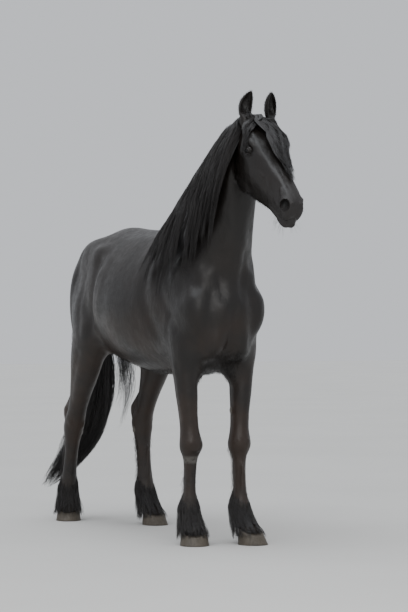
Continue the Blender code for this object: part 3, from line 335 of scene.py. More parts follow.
def addHead(bm):
    rings = []
    for row in smoothRows(headRows, 4):
        along, top, bottom, *widths = row
        points = outline(top, bottom, widths, headLevels)
        rings.append([headPoint(along, across, out) for across, out in points])
    loft(bm, rings)


pasternTilt = math.radians(28)


# Rings down the leg, level down to the fetlock and then square to the pastern.
def legRings(leg, sections, segments=20):
    rows = []
    for start, end, share, deep, wide, ahead in sections:
        centre = Vector(leg[start]).lerp(Vector(leg[end]), share)
        turn, tilt = 0.0, 0.0
        if start == "fetlock":
            turn, tilt = leg["turn"], min(1.0, 2 * share) * pasternTilt
        elif start in ("knee", "hock"):
            turn = leg["turn"] * share
        rows.append((*centre, deep, wide, ahead, turn, tilt))
    rings = []
    for forward, left, up, deep, wide, ahead, turn, tilt in smoothRows(rows, ringSteps):
        ring = []
        for i in range(segments):
            angle = 2 * math.pi * i / segments
            x, y = ahead + deep * math.cos(angle), wide * math.sin(angle)
            f = x * math.cos(turn) - y * math.sin(turn)
            b = x * math.sin(turn) + y * math.cos(turn)
            ring.append(place(forward + f, left + b, up + 0.6 * x * math.sin(tilt)))
        rings.append(ring)
    return rings


# An ellipsoid: radii along the frame's first, second and third axis, pitched nose down.
def addBall(bm, centre, radii, pitch, toFrame=place):
    verts = bmesh.ops.create_icosphere(bm, subdivisions=3, radius=1)["verts"]
    turn = Matrix.Rotation(pitch, 3, "Y")
    for vert in verts:
        offset = turn @ Vector([r * c for r, c in zip(radii, vert.co)])
        vert.co = toFrame(*(Vector(centre) + offset))
    # both frames mirror the sphere, which turns its faces in
    bmesh.ops.reverse_faces(bm, faces=list({face for vert in verts for face in vert.link_faces}))


# A table's balls, given for the left side, on both sides.
def addPairs(bm, balls, toFrame=place):
    for centre, radii, pitch in balls:
        for side in (-1, 1):
            along, across, out = centre
            addBall(bm, (along, side * across, out), radii, math.radians(pitch), toFrame)


# centre (forward, left, up), radii, degrees of pitch; on both sides
bodyMuscles = (
    ((-0.20, 0.140, 1.20), (0.10, 0.070, 0.25), 22),  # shoulder blade
    ((-0.07, 0.145, 1.12), (0.095, 0.075, 0.14), 0),  # point of the shoulder
    ((-0.26, 0.160, 1.02), (0.14, 0.070, 0.15), 20),  # triceps
    ((-0.085, 0.075, 1.02), (0.105, 0.080, 0.16), -18),  # breast
    ((-0.15, 0.140, 0.93), (0.09, 0.080, 0.13), 0),  # arm
    ((-0.17, 0.110, 0.85), (0.06, 0.065, 0.09), 0),  # inner side of the arm
    ((-1.18, 0.105, 1.345), (0.26, 0.112, 0.160), 6),  # rump
    ((-1.35, 0.130, 1.12), (0.125, 0.095, 0.30), -8),  # back of the thigh
    ((-1.22, 0.150, 1.08), (0.18, 0.105, 0.25), 12),  # thigh
    ((-1.05, 0.190, 1.37), (0.13, 0.036, 0.09), 0),  # point of the hip
    ((-0.10, 0.105, 1.27), (0.105, 0.078, 0.18), -12),  # neck's muscle over the shoulder
)


def addBodyMuscles(bm):
    addPairs(bm, bodyMuscles)


# the same, with centre (along the face, left, out of it)
headMasses = (
    ((0.150, 0.042, -0.155), (0.095, 0.032, 0.095), 0),  # jaw
    ((0.122, 0.070, -0.012), (0.034, 0.020, 0.018), 10),  # brow
    ((0.205, 0.064, -0.072), (0.085, 0.013, 0.013), -9),  # facial crest
    ((0.34, 0.020, -0.014), (0.16, 0.020, 0.014), 0),  # nasal bone
    ((0.462, 0.034, -0.045), (0.040, 0.024, 0.034), 0),  # nostril wing
    ((0.482, 0.018, -0.068), (0.036, 0.030, 0.032), 0),  # upper lip
    ((0.475, 0.012, -0.128), (0.045, 0.027, 0.020), 0),  # lower lip and chin
    ((0.36, 0.022, -0.142), (0.17, 0.016, 0.020), -9),  # bar of the jaw
)


def addHeadMasses(bm):
    addPairs(bm, headMasses, headPoint)


def addLegs(bm):
    for legs, sections in ((foreLegs, foreSections), (hindLegs, hindSections)):
        for leg in legs.values():
            loft(bm, legRings(leg, sections))


# The heel bone behind each hock with the tendon that runs up from it, and the skin before it.
def addHockPoints(bm):
    for leg in hindLegs.values():
        hock, stifle = Vector(leg["hock"]), Vector(leg["stifle"])
        calf = hock.lerp(stifle, 0.50)
        tendon = (
            (hock + Vector((-0.030, 0, -0.07)), 0.036),
            (hock + Vector((-0.064, 0, 0.030)), 0.040),
            (hock + Vector((-0.076, 0, 0.065)), 0.034),
            (hock.lerp(calf, 0.6) + Vector((-0.058, 0, 0.03)), 0.034),
            (calf + Vector((-0.045, 0, 0.02)), 0.044),
        )
        web = (
            (hock + Vector((-0.020, 0, -0.01)), 0.040),
            (hock + Vector((-0.042, 0, 0.06)), 0.048),
            (hock.lerp(calf, 0.5) + Vector((-0.040, 0, 0.03)), 0.048),
            (calf + Vector((-0.030, 0, 0.03)), 0.050),
        )
        for path, flat in ((tendon, 0.8), (web, 0.42)):
            rings = []
            for centre, radius in path:
                ring = []
                for i in range(12):
                    angle = 2 * math.pi * i / 12
                    forward = centre.x + radius * math.cos(angle)
                    left = centre.y + flat * radius * math.sin(angle)
                    ring.append(place(forward, left, centre.z))
                rings.append(ring)
            loft(bm, rings)


# An ear's base, its axis, and the ways across its cup and out of it. Side is -1 for the right.
def earFrame(side):
    base = headPoint(-0.002, side * 0.064, 0.000)
    tip = headPoint(-0.076, side * 0.064, 0.115)
    axis = (tip - base).normalized()
    facing = (headPoint(1, side * 0.35, 0.55) - headPoint(0, 0, 0)).normalized()
    across = axis.cross(facing).normalized()
    return base, axis, across, across.cross(axis).normalized()


# A direction of the part's frame from (forward, left, up).
def way(forward, left, up):
    return Vector((left, -forward, up)).normalized()


# The middle of the hoof's top, the way up out of it, its way ahead and its way left.
def coronetFrame(leg):
    turn = leg["turn"]
    ahead = way(math.cos(turn), math.sin(turn), 0)
    left = Vector((0, 0, 1)).cross(ahead)
    up = Vector((0, 0, 1)) * math.cos(coronetTilt) + ahead * math.sin(coronetTilt)
    centre = place(*leg["hoof"]) + Vector((0, 0, hoofHeight)) - ahead * 0.012
    return centre, up, ahead, left


# An eyeball's centre, the way it looks, the way along its lids and the way across them.
def eyeFrame(side):
    along, across, out = eyePlace
    centre = headPoint(along, side * across, out)
    look = (headPoint(along + 0.20, side * (across + 0.93), out + 0.12) - centre).normalized()
    alongLids = (headPoint(along + 1, side * across, out + 0.10) - centre).normalized()
    alongLids = (alongLids - look * alongLids.dot(look)).normalized()
    return centre, look, alongLids, look.cross(alongLids).normalized() * side


def ellipsoid(centre, ways, radii, subdivisions=2):
    bm = bmesh.new()
    bmesh.ops.create_icosphere(bm, subdivisions=subdivisions, radius=1)
    for vert in bm.verts:
        sizes = [radius * part for radius, part in zip(radii, vert.co)]
        vert.co = centre + sum((axis * size for axis, size in zip(ways, sizes)), Vector())
    return objectOf("ellipsoid", bm)


# places as (along the face, left, out of it); radii inwards, along and across
nostril = {
    "centre": (0.473, 0.0420, -0.041),
    "inner": (0.412, 0.016, -0.062),
    "lower": (0.490, 0.047, -0.078),
    "rim": (0.458, 0.048, -0.046),
    "radii": (0.036, 0.0300, 0.0245),
}


def nostrilPoint(name, side):
    along, across, out = nostril[name]
    return headPoint(along, side * across, out)


def nostrilCutters():
    cutters = []
    for side in (-1, 1):
        centre = nostrilPoint("centre", side)
        inward = (nostrilPoint("inner", side) - centre).normalized()
        along = (nostrilPoint("lower", side) - centre).normalized()
        across = inward.cross(along).normalized()
        along = across.cross(inward)
        cutters.append(ellipsoid(centre, (inward, along, across), nostril["radii"]))
    return cutters


# the line of the mouth on the left: along the face, left, out of it
mouth = (
    (0.520, 0.000, -0.080),
    (0.514, 0.014, -0.086),
    (0.503, 0.026, -0.098),
    (0.488, 0.034, -0.108),
    (0.465, 0.040, -0.113),
    (0.440, 0.042, -0.114),
)

# how far in from the skin and how high, round the cut
mouthSection = ((-0.007, -0.0008), (0.030, -0.0012), (0.030, 0.0012), (-0.007, 0.0008))

# A thin curved strip that cuts the line of the mouth round the muzzle.
def mouthCutter():
    rows = smoothRows(mouth, 2)
    line = [(along, -across, out) for along, across, out in rows[:0:-1]] + [tuple(row) for row in rows]
    rings = []
    for along, across, out in line:
        away = Vector((max(0.0, along - 0.44), across)).normalized()
        ring = []
        for depth, height in mouthSection:
            ring.append(headPoint(along + away.x * depth, across + away.y * depth, out + height))
        rings.append(ring)
    return lofted("mouth_line", rings)


# the tail's bone and its plain hair: forward, left, up, half width, half thickness
dockRows = (
    (-1.47, 0.0, 1.375, 0.045, 0.045),
    (-1.54, 0.0, 1.370, 0.055, 0.050),
    (-1.590, 0.0, 1.300, 0.070, 0.055),
    (-1.615, 0.01, 1.180, 0.090, 0.060),
    (-1.635, 0.035, 1.000, 0.115, 0.065),
    (-1.660, 0.055, 0.800, 0.125, 0.065),
    (-1.690, 0.055, 0.600, 0.130, 0.060),
    (-1.725, 0.01, 0.420, 0.130, 0.050),
    (-1.765, -0.09, 0.265, 0.100, 0.038),
    (-1.795, -0.17, 0.165, 0.050, 0.020),
)

# root, middle and tip of the mane from the poll to the withers
maneRows = (
    ((0.255, 0.0, 2.000), (0.235, -0.125, 1.800), (0.165, -0.165, 1.520)),
    ((0.215, 0.0, 2.005), (0.180, -0.130, 1.790), (0.085, -0.175, 1.450)),
    ((0.060, 0.0, 1.975), (0.000, -0.145, 1.700), (-0.070, -0.200, 1.360)),
    ((-0.130, 0.0, 1.845), (-0.195, -0.165, 1.580), (-0.270, -0.240, 1.250)),
    ((-0.330, 0.0, 1.672), (-0.385, -0.130, 1.520), (-0.460, -0.230, 1.300)),
)

# the forelock: along the face, left, out of it, half width
forelockRows = (
    (-0.048, 0.000, 0.004, 0.034),
    (0.004, 0.008, 0.030, 0.044),
    (0.070, 0.024, 0.034, 0.054),
    (0.140, 0.030, 0.034, 0.058),
    (0.220, 0.028, 0.020, 0.044),
    (0.300, 0.026, 0.010, 0.028),
    (0.365, 0.020, 0.004, 0.014),
    (0.400, 0.012, 0.000, 0.005),
)
# its smaller part, over the root of the right ear
sideLockRows = (
    (-0.048, 0.000, 0.006, 0.030),
    (-0.010, -0.022, 0.034, 0.030),
    (0.030, -0.052, 0.026, 0.026),
    (0.075, -0.080, -0.004, 0.018),
    (0.120, -0.094, -0.040, 0.012),
    (0.170, -0.098, -0.075, 0.006),
)


# Procedural finishes

# A new material with its shader, its node tree and a socket of Object coordinates.
def newMaterial(name):
    material = bpy.data.materials.new(name)
    material.use_nodes = True
    tree = material.node_tree
    coords = tree.nodes.new("ShaderNodeTexCoord")
    return material, tree, tree.nodes["Principled BSDF"], coords.outputs["Object"]


def noiseOf(tree, vector, scale, detail=4.0, roughness=0.55, stretch=(1, 1, 1), turn=(0, 0, 0)):
    mapping = tree.nodes.new("ShaderNodeMapping")
    mapping.inputs["Scale"].default_value = stretch
    mapping.inputs["Rotation"].default_value = turn
    tree.links.new(vector, mapping.inputs["Vector"])
    noise = tree.nodes.new("ShaderNodeTexNoise")
    noise.inputs["Scale"].default_value = scale
    noise.inputs["Detail"].default_value = detail
    noise.inputs["Roughness"].default_value = roughness
    tree.links.new(mapping.outputs["Vector"], noise.inputs["Vector"])
    return noise.outputs["Fac"]


# The outputs X, Y and Z of a place.
def partsOf(tree, vector):
    node = tree.nodes.new("ShaderNodeSeparateXYZ")
    tree.links.new(vector, node.inputs["Vector"])
    return node.outputs


def attributeOf(tree, name):
    node = tree.nodes.new("ShaderNodeAttribute")
    node.attribute_name = name
    return node.outputs["Fac"]


def ranged(tree, value, fromLow, fromHigh, low=0.0, high=1.0):
    node = tree.nodes.new("ShaderNodeMapRange")
    node.interpolation_type = "SMOOTHSTEP"
    for name, number in (("From Min", fromLow), ("From Max", fromHigh), ("To Min", low), ("To Max", high)):
        node.inputs[name].default_value = number
    tree.links.new(value, node.inputs["Value"])
    return node.outputs["Result"]


def sums(tree, operation, first, second):
    node = tree.nodes.new("ShaderNodeMath")
    node.operation = operation
    for value, socket in ((first, node.inputs[0]), (second, node.inputs[1])):
        if isinstance(value, (int, float)):
            socket.default_value = value
        else:
            tree.links.new(value, socket)
    return node.outputs["Value"]


# Two colours, each a tuple or a socket, by a share.
def mixed(tree, share, first, second):
    node = tree.nodes.new("ShaderNodeMix")
    node.data_type = "RGBA"
    tree.links.new(share, node.inputs["Factor"])
    for value, socket in ((first, node.inputs["A"]), (second, node.inputs["B"])):
        if isinstance(value, tuple):
            socket.default_value = (*value, 1)
        else:
            tree.links.new(value, socket)
    return node.outputs["Result"]


# The same for plain numbers.
def blended(tree, share, first, second):
    node = tree.nodes.new("ShaderNodeMix")
    for value, name in ((share, "Factor"), (first, "A"), (second, "B")):
        tree.links.new(value, node.inputs[name])
    return node.outputs["Result"]


def bumpOf(tree, height, strength, distance, before=None):
    node = tree.nodes.new("ShaderNodeBump")
    node.inputs["Strength"].default_value = strength
    node.inputs["Distance"].default_value = distance
    tree.links.new(height, node.inputs["Height"])
    if before:
        tree.links.new(before, node.inputs["Normal"])
    return node.outputs["Normal"]


# How near a place is, from 1 at the centre to 0 at the ellipsoid's edge.
def nearTo(tree, vector, centre, radii):
    mapping = tree.nodes.new("ShaderNodeMapping")
    mapping.vector_type = "TEXTURE"
    mapping.inputs["Location"].default_value = centre
    mapping.inputs["Scale"].default_value = radii
    tree.links.new(vector, mapping.inputs["Vector"])
    length = tree.nodes.new("ShaderNodeVectorMath")
    length.operation = "LENGTH"
    tree.links.new(mapping.outputs["Vector"], length.inputs[0])
    return ranged(tree, length.outputs["Value"], 0.45, 1.0, 1.0, 0.0)


coatLooks = {
    "black": (0.0074, 0.0058, 0.0050),
    "brown": (0.0240, 0.0138, 0.0088),  # faded hair on the belly, flanks and thighs
    "dust": (0.032, 0.027, 0.023),      # on the lower legs
    "muzzle": (0.0150, 0.0125, 0.0120),
    # painted shade deep inside the nostrils
    "nostril": (0.0018, 0.0014, 0.0013),
    "horn": (0.105, 0.094, 0.080),      # chestnuts
    "paintedSheen": (0.090, 0.083, 0.074),      # painted sheen: a pale strip under the right knee
}


# The markings, the same on the skin and on the coat, with painted shade inside the nostrils and a painted
# sheen under the right knee: a colour and how dusty the place is.
def coatColour(tree, vector):
    up = partsOf(tree, vector)["Z"]
    broad = noiseOf(tree, vector, 3.2, 3)
    low = ranged(tree, up, 1.30, 0.70)
    brown = sums(tree, "MULTIPLY", ranged(tree, broad, 0.36, 0.66), sums(tree, "ADD", low, 0.18))
    colour = mixed(tree, brown, coatLooks["black"], coatLooks["brown"])
    speck = noiseOf(tree, vector, 46, 5, 0.7)
    legs = ranged(tree, up, 0.62, 0.02)
    dust = sums(tree, "MULTIPLY", legs, ranged(tree, speck, 0.34, 0.72))
    colour = mixed(tree, dust, colour, coatLooks["dust"])
    nose = nearTo(tree, vector, headPoint(0.49, 0.0, -0.07), (0.13, 0.13, 0.13))
    colour = mixed(tree, nose, colour, coatLooks["muzzle"])
    for side in (-1, 1):
        # painted shade deep inside each nostril
        inside = nearTo(tree, vector, headPoint(0.450, side * 0.026, -0.050), (0.026, 0.026, 0.026))
        colour = mixed(tree, inside, colour, coatLooks["nostril"])
    # painted sheen on the right foreleg under the knee, broken up by the specks
    paintedSheen = nearTo(tree, vector, place(-0.155, -0.128, 0.405), (0.075, 0.075, 0.026))
    paintedSheen = sums(tree, "MULTIPLY", paintedSheen, ranged(tree, speck, 0.30, 0.55))
    colour = mixed(tree, paintedSheen, colour, coatLooks["paintedSheen"])
    for centre in chestnutPlaces():
        spot = nearTo(tree, vector, centre, (0.016, 0.017, 0.027))
        colour = mixed(tree, spot, colour, coatLooks["horn"])
    return colour, dust, nose


# The chestnuts: horny spots inside each leg, above the knee and under the hock.
def chestnutPlaces():
    found = []
    for legs, joint, up in ((foreLegs, ("elbow", "knee"), 0.16), (hindLegs, ("hock", "fetlock"), -0.06)):
        for side, leg in legs.items():
            high, low = Vector(leg[joint[0]]), Vector(leg[joint[1]])
            if up > 0:
                middle = low.lerp(high, up / (high.z - low.z))
                inward = 0.050
            else:
                middle = high.lerp(low, -up / (high.z - low.z))
                inward = 0.052
            middle.y += -inward if side == "left" else inward
            found.append(place(*middle))
    return found


def coatMaterial():
    material, tree, shader, vector = newMaterial("blackCoat")
    colour, dust, nose = coatColour(tree, vector)
    tree.links.new(colour, shader.inputs["Base Color"])
    # short hair lies back along the trunk, down the neck's slope and straight down the legs
    parts = partsOf(tree, vector)
    back = noiseOf(tree, vector, 60, 5, 0.6, (9, 1.0, 5), (math.radians(14), 0, 0))
    down = noiseOf(tree, vector, 60, 5, 0.6, (8, 8, 1.0))
    face = noiseOf(tree, vector, 70, 5, 0.6, (8, 8, 1.2), (math.radians(-44), 0, 0))
    hair = blended(tree, ranged(tree, parts["Z"], 1.02, 0.82), back, down)
    lie = blended(tree, ranged(tree, parts["Y"], -0.72, -0.80), hair, face)
    muscle = noiseOf(tree, vector, 8, 3, 0.5, (1, 1, 0.6))
    veins = noiseOf(tree, vector, 19, 4, 0.55, (1, 1, 0.6), (math.radians(25), 0, 0))
    normal = bumpOf(tree, veins, 0.30, 0.0085, bumpOf(tree, muscle, 0.30, 0.014))
    # the veins stand out on the head, neck and shoulders
    tree.links.new(ranged(tree, parts["Y"], 0.10, -0.35, 0.12, 0.55), normal.node.inputs["Strength"])
    tree.links.new(bumpOf(tree, lie, 0.46, 0.0014, normal), shader.inputs["Normal"])
    rough = sums(tree, "MULTIPLY_ADD", lie, 0.20)
    rough.node.inputs[2].default_value = 0.25
    mottled = noiseOf(tree, vector, 30, 5, 0.65)
    rough = sums(tree, "ADD", rough, ranged(tree, mottled, 0.36, 0.64, 0.0, 0.10))
    rough = sums(tree, "ADD", rough, sums(tree, "MULTIPLY", dust, 0.40))
    rough = sums(tree, "ADD", rough, sums(tree, "MULTIPLY", nose, 0.14))
    tree.links.new(rough, shader.inputs["Roughness"])
    shader.inputs["Specular IOR Level"].default_value = 0.40
    return material


hairLooks = {
    "dark": (0.0062, 0.0056, 0.0058),
    "light": (0.0330, 0.0295, 0.0290),
    "rough": 0.30,
    "bed": (0.0048, 0.0044, 0.0044),  # inside the mane and round the dock
    "bedRough": 0.60,
}


# Long hair: each strand has its own shade, held in the attribute strandTone.
def hairMaterial(name, dark, light, roughness):
    material, tree, shader, vector = newMaterial(name)
    tone = attributeOf(tree, "strandTone")
    colour = mixed(tree, tone, dark, light)
    _, dust, _ = coatColour(tree, vector)
    colour = mixed(tree, sums(tree, "MULTIPLY", dust, 0.55), colour, coatLooks["dust"])
    tree.links.new(colour, shader.inputs["Base Color"])
    rough = sums(tree, "MULTIPLY_ADD", tone, 0.14)
    rough.node.inputs[2].default_value = roughness
    tree.links.new(rough, shader.inputs["Roughness"])
    shader.inputs["Specular IOR Level"].default_value = 0.5
    return material


def furMaterial():
    material, tree, shader, vector = newMaterial("shortFur")
    colour, dust, _ = coatColour(tree, vector)
    tree.links.new(colour, shader.inputs["Base Color"])
    tree.links.new(ranged(tree, dust, 0, 1, 0.40, 0.75), shader.inputs["Roughness"])
    return material


hornLooks = {
    "pale": (0.074, 0.060, 0.044),
    "dark": (0.034, 0.028, 0.021),
    "coronet": (0.026, 0.021, 0.018),
}


def hornMaterial():
    material, tree, shader, vector = newMaterial("dustyHorn")
    streak = noiseOf(tree, vector, 26, 5, 0.6, (5, 5, 0.7))
    patch = noiseOf(tree, vector, 14, 4, 0.6)
    blend = sums(tree, "MULTIPLY", ranged(tree, streak, 0.30, 0.75), ranged(tree, patch, 0.25, 0.7))
    colour = mixed(tree, blend, hornLooks["pale"], hornLooks["dark"])
    edge = sums(tree, "ADD", partsOf(tree, vector)["Z"], sums(tree, "MULTIPLY", patch, 0.012))
    top = ranged(tree, edge, 0.052, 0.085)
    colour = mixed(tree, top, colour, hornLooks["coronet"])
    tree.links.new(colour, shader.inputs["Base Color"])
    grain = noiseOf(tree, vector, 60, 4, 0.6, (6, 6, 0.8))
    ring = noiseOf(tree, vector, 30, 2, 0.4, (0.4, 0.4, 7))
    normal = bumpOf(tree, ring, 0.35, 0.0022)
    normal = bumpOf(tree, grain, 0.30, 0.0007, normal)
    tree.links.new(normal, shader.inputs["Normal"])
    tree.links.new(ranged(tree, streak, 0.2, 0.8, 0.50, 0.78), shader.inputs["Roughness"])
    return material


eyeLooks = {
    "pupil": (0.0012, 0.0012, 0.0016),
    "iris": (0.0050, 0.0026, 0.0016),
    "rim": (0.0060, 0.0038, 0.0030),
    "white": (0.030, 0.023, 0.020),
}


# The attribute lookAngle is 1 at the middle of the eye and 0 at its back.
# The attribute pupilShare is 1 at the middle of the pupil and 0.5 at its edge.
def eyeMaterial():
    material, tree, shader, vector = newMaterial("wetEye")
    share = attributeOf(tree, "lookAngle")
    streak = noiseOf(tree, vector, 300, 3, 0.6)
    colour = mixed(tree, ranged(tree, share, 0.60, 0.66), eyeLooks["white"], eyeLooks["rim"])
    inner = sums(tree, "MULTIPLY", ranged(tree, share, 0.66, 0.74), ranged(tree, streak, 0.2, 0.7, 0.5, 1.0))
    colour = mixed(tree, inner, colour, eyeLooks["iris"])
    pupil = ranged(tree, attributeOf(tree, "pupilShare"), 0.42, 0.56)
    colour = mixed(tree, pupil, colour, eyeLooks["pupil"])
    tree.links.new(colour, shader.inputs["Base Color"])
    shader.inputs["Roughness"].default_value = 0.30
    shader.inputs["Specular IOR Level"].default_value = 0.12
    shader.inputs["Coat Weight"].default_value = 0.45
    shader.inputs["Coat Roughness"].default_value = 0.015
    return material


# The skin: coarse masses, finer ones, then a lighter mesh drawn onto them

# joint, then ahead, outwards and up from it, radii in the same order, pitch; both legs of the pair
foreKnobs = (
    ("knee", (0.030, 0.018, 0.012), (0.030, 0.024, 0.026), 0),
    ("knee", (0.030, -0.018, 0.014), (0.028, 0.022, 0.026), 0),
    ("knee", (0.034, 0.0, -0.020), (0.024, 0.034, 0.018), 0),
    ("knee", (-0.044, 0.008, 0.018), (0.020, 0.016, 0.028), 0),
    ("knee", (-0.036, 0.0, -0.09), (0.012, 0.017, 0.13), 2),
    ("knee", (0.006, 0.024, 0.10), (0.030, 0.024, 0.12), -4),
    ("fetlock", (-0.038, 0.018, 0.004), (0.020, 0.018, 0.026), 0),
    ("fetlock", (-0.038, -0.018, 0.004), (0.020, 0.018, 0.026), 0),
    ("fetlock", (-0.034, 0.0, 0.11), (0.011, 0.016, 0.11), -2),
    ("fetlock", (0.026, 0.0, 0.10), (0.010, 0.014, 0.13), 0),
)
hindKnobs = (
    ("hock", (0.036, -0.018, -0.004), (0.034, 0.026, 0.045), 6),
    ("hock", (0.020, 0.030, 0.0), (0.038, 0.022, 0.040), 0),
    ("hock", (-0.072, 0.0, 0.060), (0.024, 0.022, 0.032), 0),
    ("fetlock", (-0.042, 0.018, 0.004), (0.021, 0.018, 0.028), 0),
    ("fetlock", (-0.042, -0.018, 0.004), (0.021, 0.018, 0.028), 0),
    ("fetlock", (-0.040, 0.0, 0.13), (0.011, 0.016, 0.14), -4),
    ("fetlock", (0.030, 0.0, 0.12), (0.010, 0.014, 0.15), -2),
)


def addKnobs(bm):
    for legs, knobs in ((foreLegs, foreKnobs), (hindLegs, hindKnobs)):
        for side, leg in legs.items():
            outwards = 1 if side == "left" else -1
            for joint, offset, radii, pitch in knobs:
                centre = Vector(leg[joint]) + Vector((offset[0], outwards * offset[1], offset[2]))
                addBall(bm, centre, radii, math.radians(pitch))


def addChestnuts(bm):
    for centre in chestnutPlaces():
        verts = bmesh.ops.create_icosphere(bm, subdivisions=2, radius=1)["verts"]
        for vert in verts:
            vert.co = centre + Vector((0.009 * vert.co.x, 0.010 * vert.co.y, 0.019 * vert.co.z))


# finer forms of the head, as in headMasses
headFolds = (
    ((0.425, 0.040, -0.030), (0.040, 0.010, 0.010), 20),   # rim over the nostril
    ((0.494, 0.019, -0.050), (0.014, 0.010, 0.020), 0),    # rim before the nostril
    ((0.300, 0.046, -0.050), (0.060, 0.012, 0.012), 16),   # muscle from the crest to the lip
    ((0.165, 0.070, -0.105), (0.045, 0.014, 0.050), 0),    # cheek
    ((0.418, 0.036, -0.078), (0.050, 0.014, 0.020), -10),  # cheek behind the nostril
    ((0.450, 0.0, -0.146), (0.030, 0.024, 0.018), 0),      # chin
    ((0.275, 0.050, -0.088), (0.085, 0.008, 0.009), -14),  # end of the facial crest
    ((0.055, 0.064, -0.060), (0.040, 0.016, 0.026), 0),    # jaw's joint before the ear
)


def addHeadFolds(bm):
    addPairs(bm, headFolds, headPoint)


def addEarRoots(bm):
    for side in (-1, 1):
        base, axis, _, _ = earFrame(side)
        verts = bmesh.ops.create_icosphere(bm, subdivisions=3, radius=0.0265)["verts"]
        for vert in verts:
            vert.co = base + vert.co + axis * 0.35 * vert.co.dot(axis)


lids = {
    "reachAlong": 68,    # degrees from the middle of the eye to the middle of each lid
    "reachUp": 45,
    "reachDown": 40,
    "thickUp": 0.0052,
    "thickDown": 0.0042,
    "foldAlong": 86,     # the crease above the upper lid
    "foldReach": 70,
    "foldThick": 0.0042,
    "socketWide": 0.046,
    "socketDeep": 0.0065,
    "openAhead": 0.026,  # the almond that parts the lids, from the middle of the eye
    "openRadii": (0.022, 0.0170, 0.0098),
}


# Both lids of each eye as one bent ring on the eyeball, and the fold over the upper one.
def lidForms(side):
    centre, look, along, across = eyeFrame(side)

    def onEye(x, y, lift):
        turn = math.radians(math.hypot(x, y))
        aside = (along * x + across * y).normalized()
        out = look * math.cos(turn) + aside * math.sin(turn)
        return centre + out * (eyeRadius + lift), aside, out

    turns = [2 * math.pi * k / 10 for k in range(10)]
    bm = bmesh.new()
    rings = []
    for i in range(48):
        angle = 2 * math.pi * i / 48
        upper = 0.5 + 0.5 * math.tanh(4 * math.sin(angle))
        reach = lids["reachDown"] + (lids["reachUp"] - lids["reachDown"]) * upper
        thick = lids["thickDown"] + (lids["thickUp"] - lids["thickDown"]) * upper
        corner = abs(math.cos(angle)) ** 6
        on, aside, out = onEye(math.cos(angle) * lids["reachAlong"], math.sin(angle) * reach, 0.0012)
        thick *= 1 - 0.25 * corner
        rings.append([on + (aside * math.cos(a) + out * math.sin(a)) * thick for a in turns])
    made = [[bm.verts.new(point) for point in ring] for ring in rings]
    for ring, following in zip(made, made[1:] + made[:1]):
        for i in range(len(turns)):
            j = (i + 1) % len(turns)
            bm.faces.new((ring[i], ring[j], following[j], following[i]))
    lidRing = objectOf("lidRing", bm)
    rings = []
    for i in range(17):
        angle = math.radians(10 + 160 * i / 16)
        taper = math.sin(math.pi * (0.10 + 0.80 * i / 16))
        x, y = math.cos(angle) * lids["foldAlong"], math.sin(angle) * lids["foldReach"]
        on, aside, out = onEye(x, y, 0.001 + 0.003 * taper)
        offsets = [(aside * math.cos(a) + out * math.sin(a)) * lids["foldThick"] * taper for a in turns]
        rings.append([on + offset for offset in offsets])
    return [lidRing, lofted("lidFold", rings)]


# Presses a shallow socket round each eye, so that the lids stand out of the head.
def carveSockets(obj):
    found = pointsOf(obj.data)
    for side in (-1, 1):
        centre, look, _, _ = [np.array(v) for v in eyeFrame(side)]
        away = found - centre
        depth = away @ look
        off = np.linalg.norm(away - depth[:, None] * look, axis=1)
        share = np.clip(1 - off / lids["socketWide"], 0, 1)
        share = share * share * (3 - 2 * share) * (depth > 0)
        found = found - look * (lids["socketDeep"] * np.minimum(1, 1.5 * share))[:, None]
    obj.data.vertices.foreach_set("co", found.astype(np.float32).ravel())
    obj.data.update()


# Lines where muscles meet and rise: (forward, up) along each flank, half width, height out of the skin.
sideLines = (
    (((-0.36, 1.50), (-0.22, 1.30), (-0.10, 1.12)), 0.024, 0.006),
    (((-0.30, 1.54), (-0.13, 1.36), (-0.02, 1.22)), 0.020, -0.009),
    (((-0.47, 1.42), (-0.43, 1.20), (-0.35, 1.02), (-0.27, 0.92)), 0.024, -0.010),
    (((-0.37, 1.30), (-0.23, 1.13), (-0.13, 1.02)), 0.017, -0.007),
    (((-0.20, 1.10), (-0.22, 1.00), (-0.20, 0.90)), 0.014, -0.005),
    (((-1.30, 1.42), (-1.38, 1.18), (-1.37, 0.95)), 0.018, -0.008),
    (((-0.92, 1.30), (-0.97, 1.10), (-1.06, 0.96)), 0.020, 0.006),
    (((-1.00, 1.36), (-1.01, 1.18), (-1.07, 1.02)), 0.030, -0.016),
    (((-0.88, 1.36), (-0.88, 1.18), (-0.94, 1.00)), 0.034, 0.006),
    (((-1.16, 1.30), (-1.20, 1.14), (-1.18, 1.00)), 0.016, -0.005),
    (((-0.20, 0.88), (-0.175, 0.74), (-0.165, 0.60)), 0.010, -0.004),
    (((-0.145, 0.86), (-0.135, 0.74), (-0.140, 0.62)), 0.010, -0.003),
    (((-1.20, 0.90), (-1.32, 0.76), (-1.40, 0.66)), 0.011, -0.005),
    (((0.20, 1.74), (0.09, 1.50), (-0.01, 1.32)), 0.018, -0.008),
    (((0.12, 1.88), (-0.08, 1.70), (-0.26, 1.52)), 0.022, -0.006),
    (((0.16, 1.80), (0.00, 1.60), (-0.12, 1.44)), 0.020, 0.004),
)
# the same on the breast: (outwards, up)
frontLines = (
    (((0.062, 1.38), (0.064, 1.28), (0.055, 1.18)), 0.014, -0.009),
    (((0.100, 1.20), (0.125, 1.08), (0.115, 0.95)), 0.018, -0.009),
    (((0.000, 1.12), (0.000, 1.00), (0.000, 0.93)), 0.012, -0.007),
    (((0.050, 1.12), (0.060, 1.02), (0.055, 0.95)), 0.022, 0.005),
)


# How far places in a plane lie from a path in it.
def awayFrom(spots, path):
    path = np.array(path)
    nearest = np.full(len(spots), 9.0)
    for start, end in zip(path, path[1:]):
        line = end - start
        share = np.clip(((spots - start) @ line) / (line @ line), 0, 1)
        nearest = np.minimum(nearest, np.linalg.norm(spots - start - share[:, None] * line, axis=1))
    return nearest


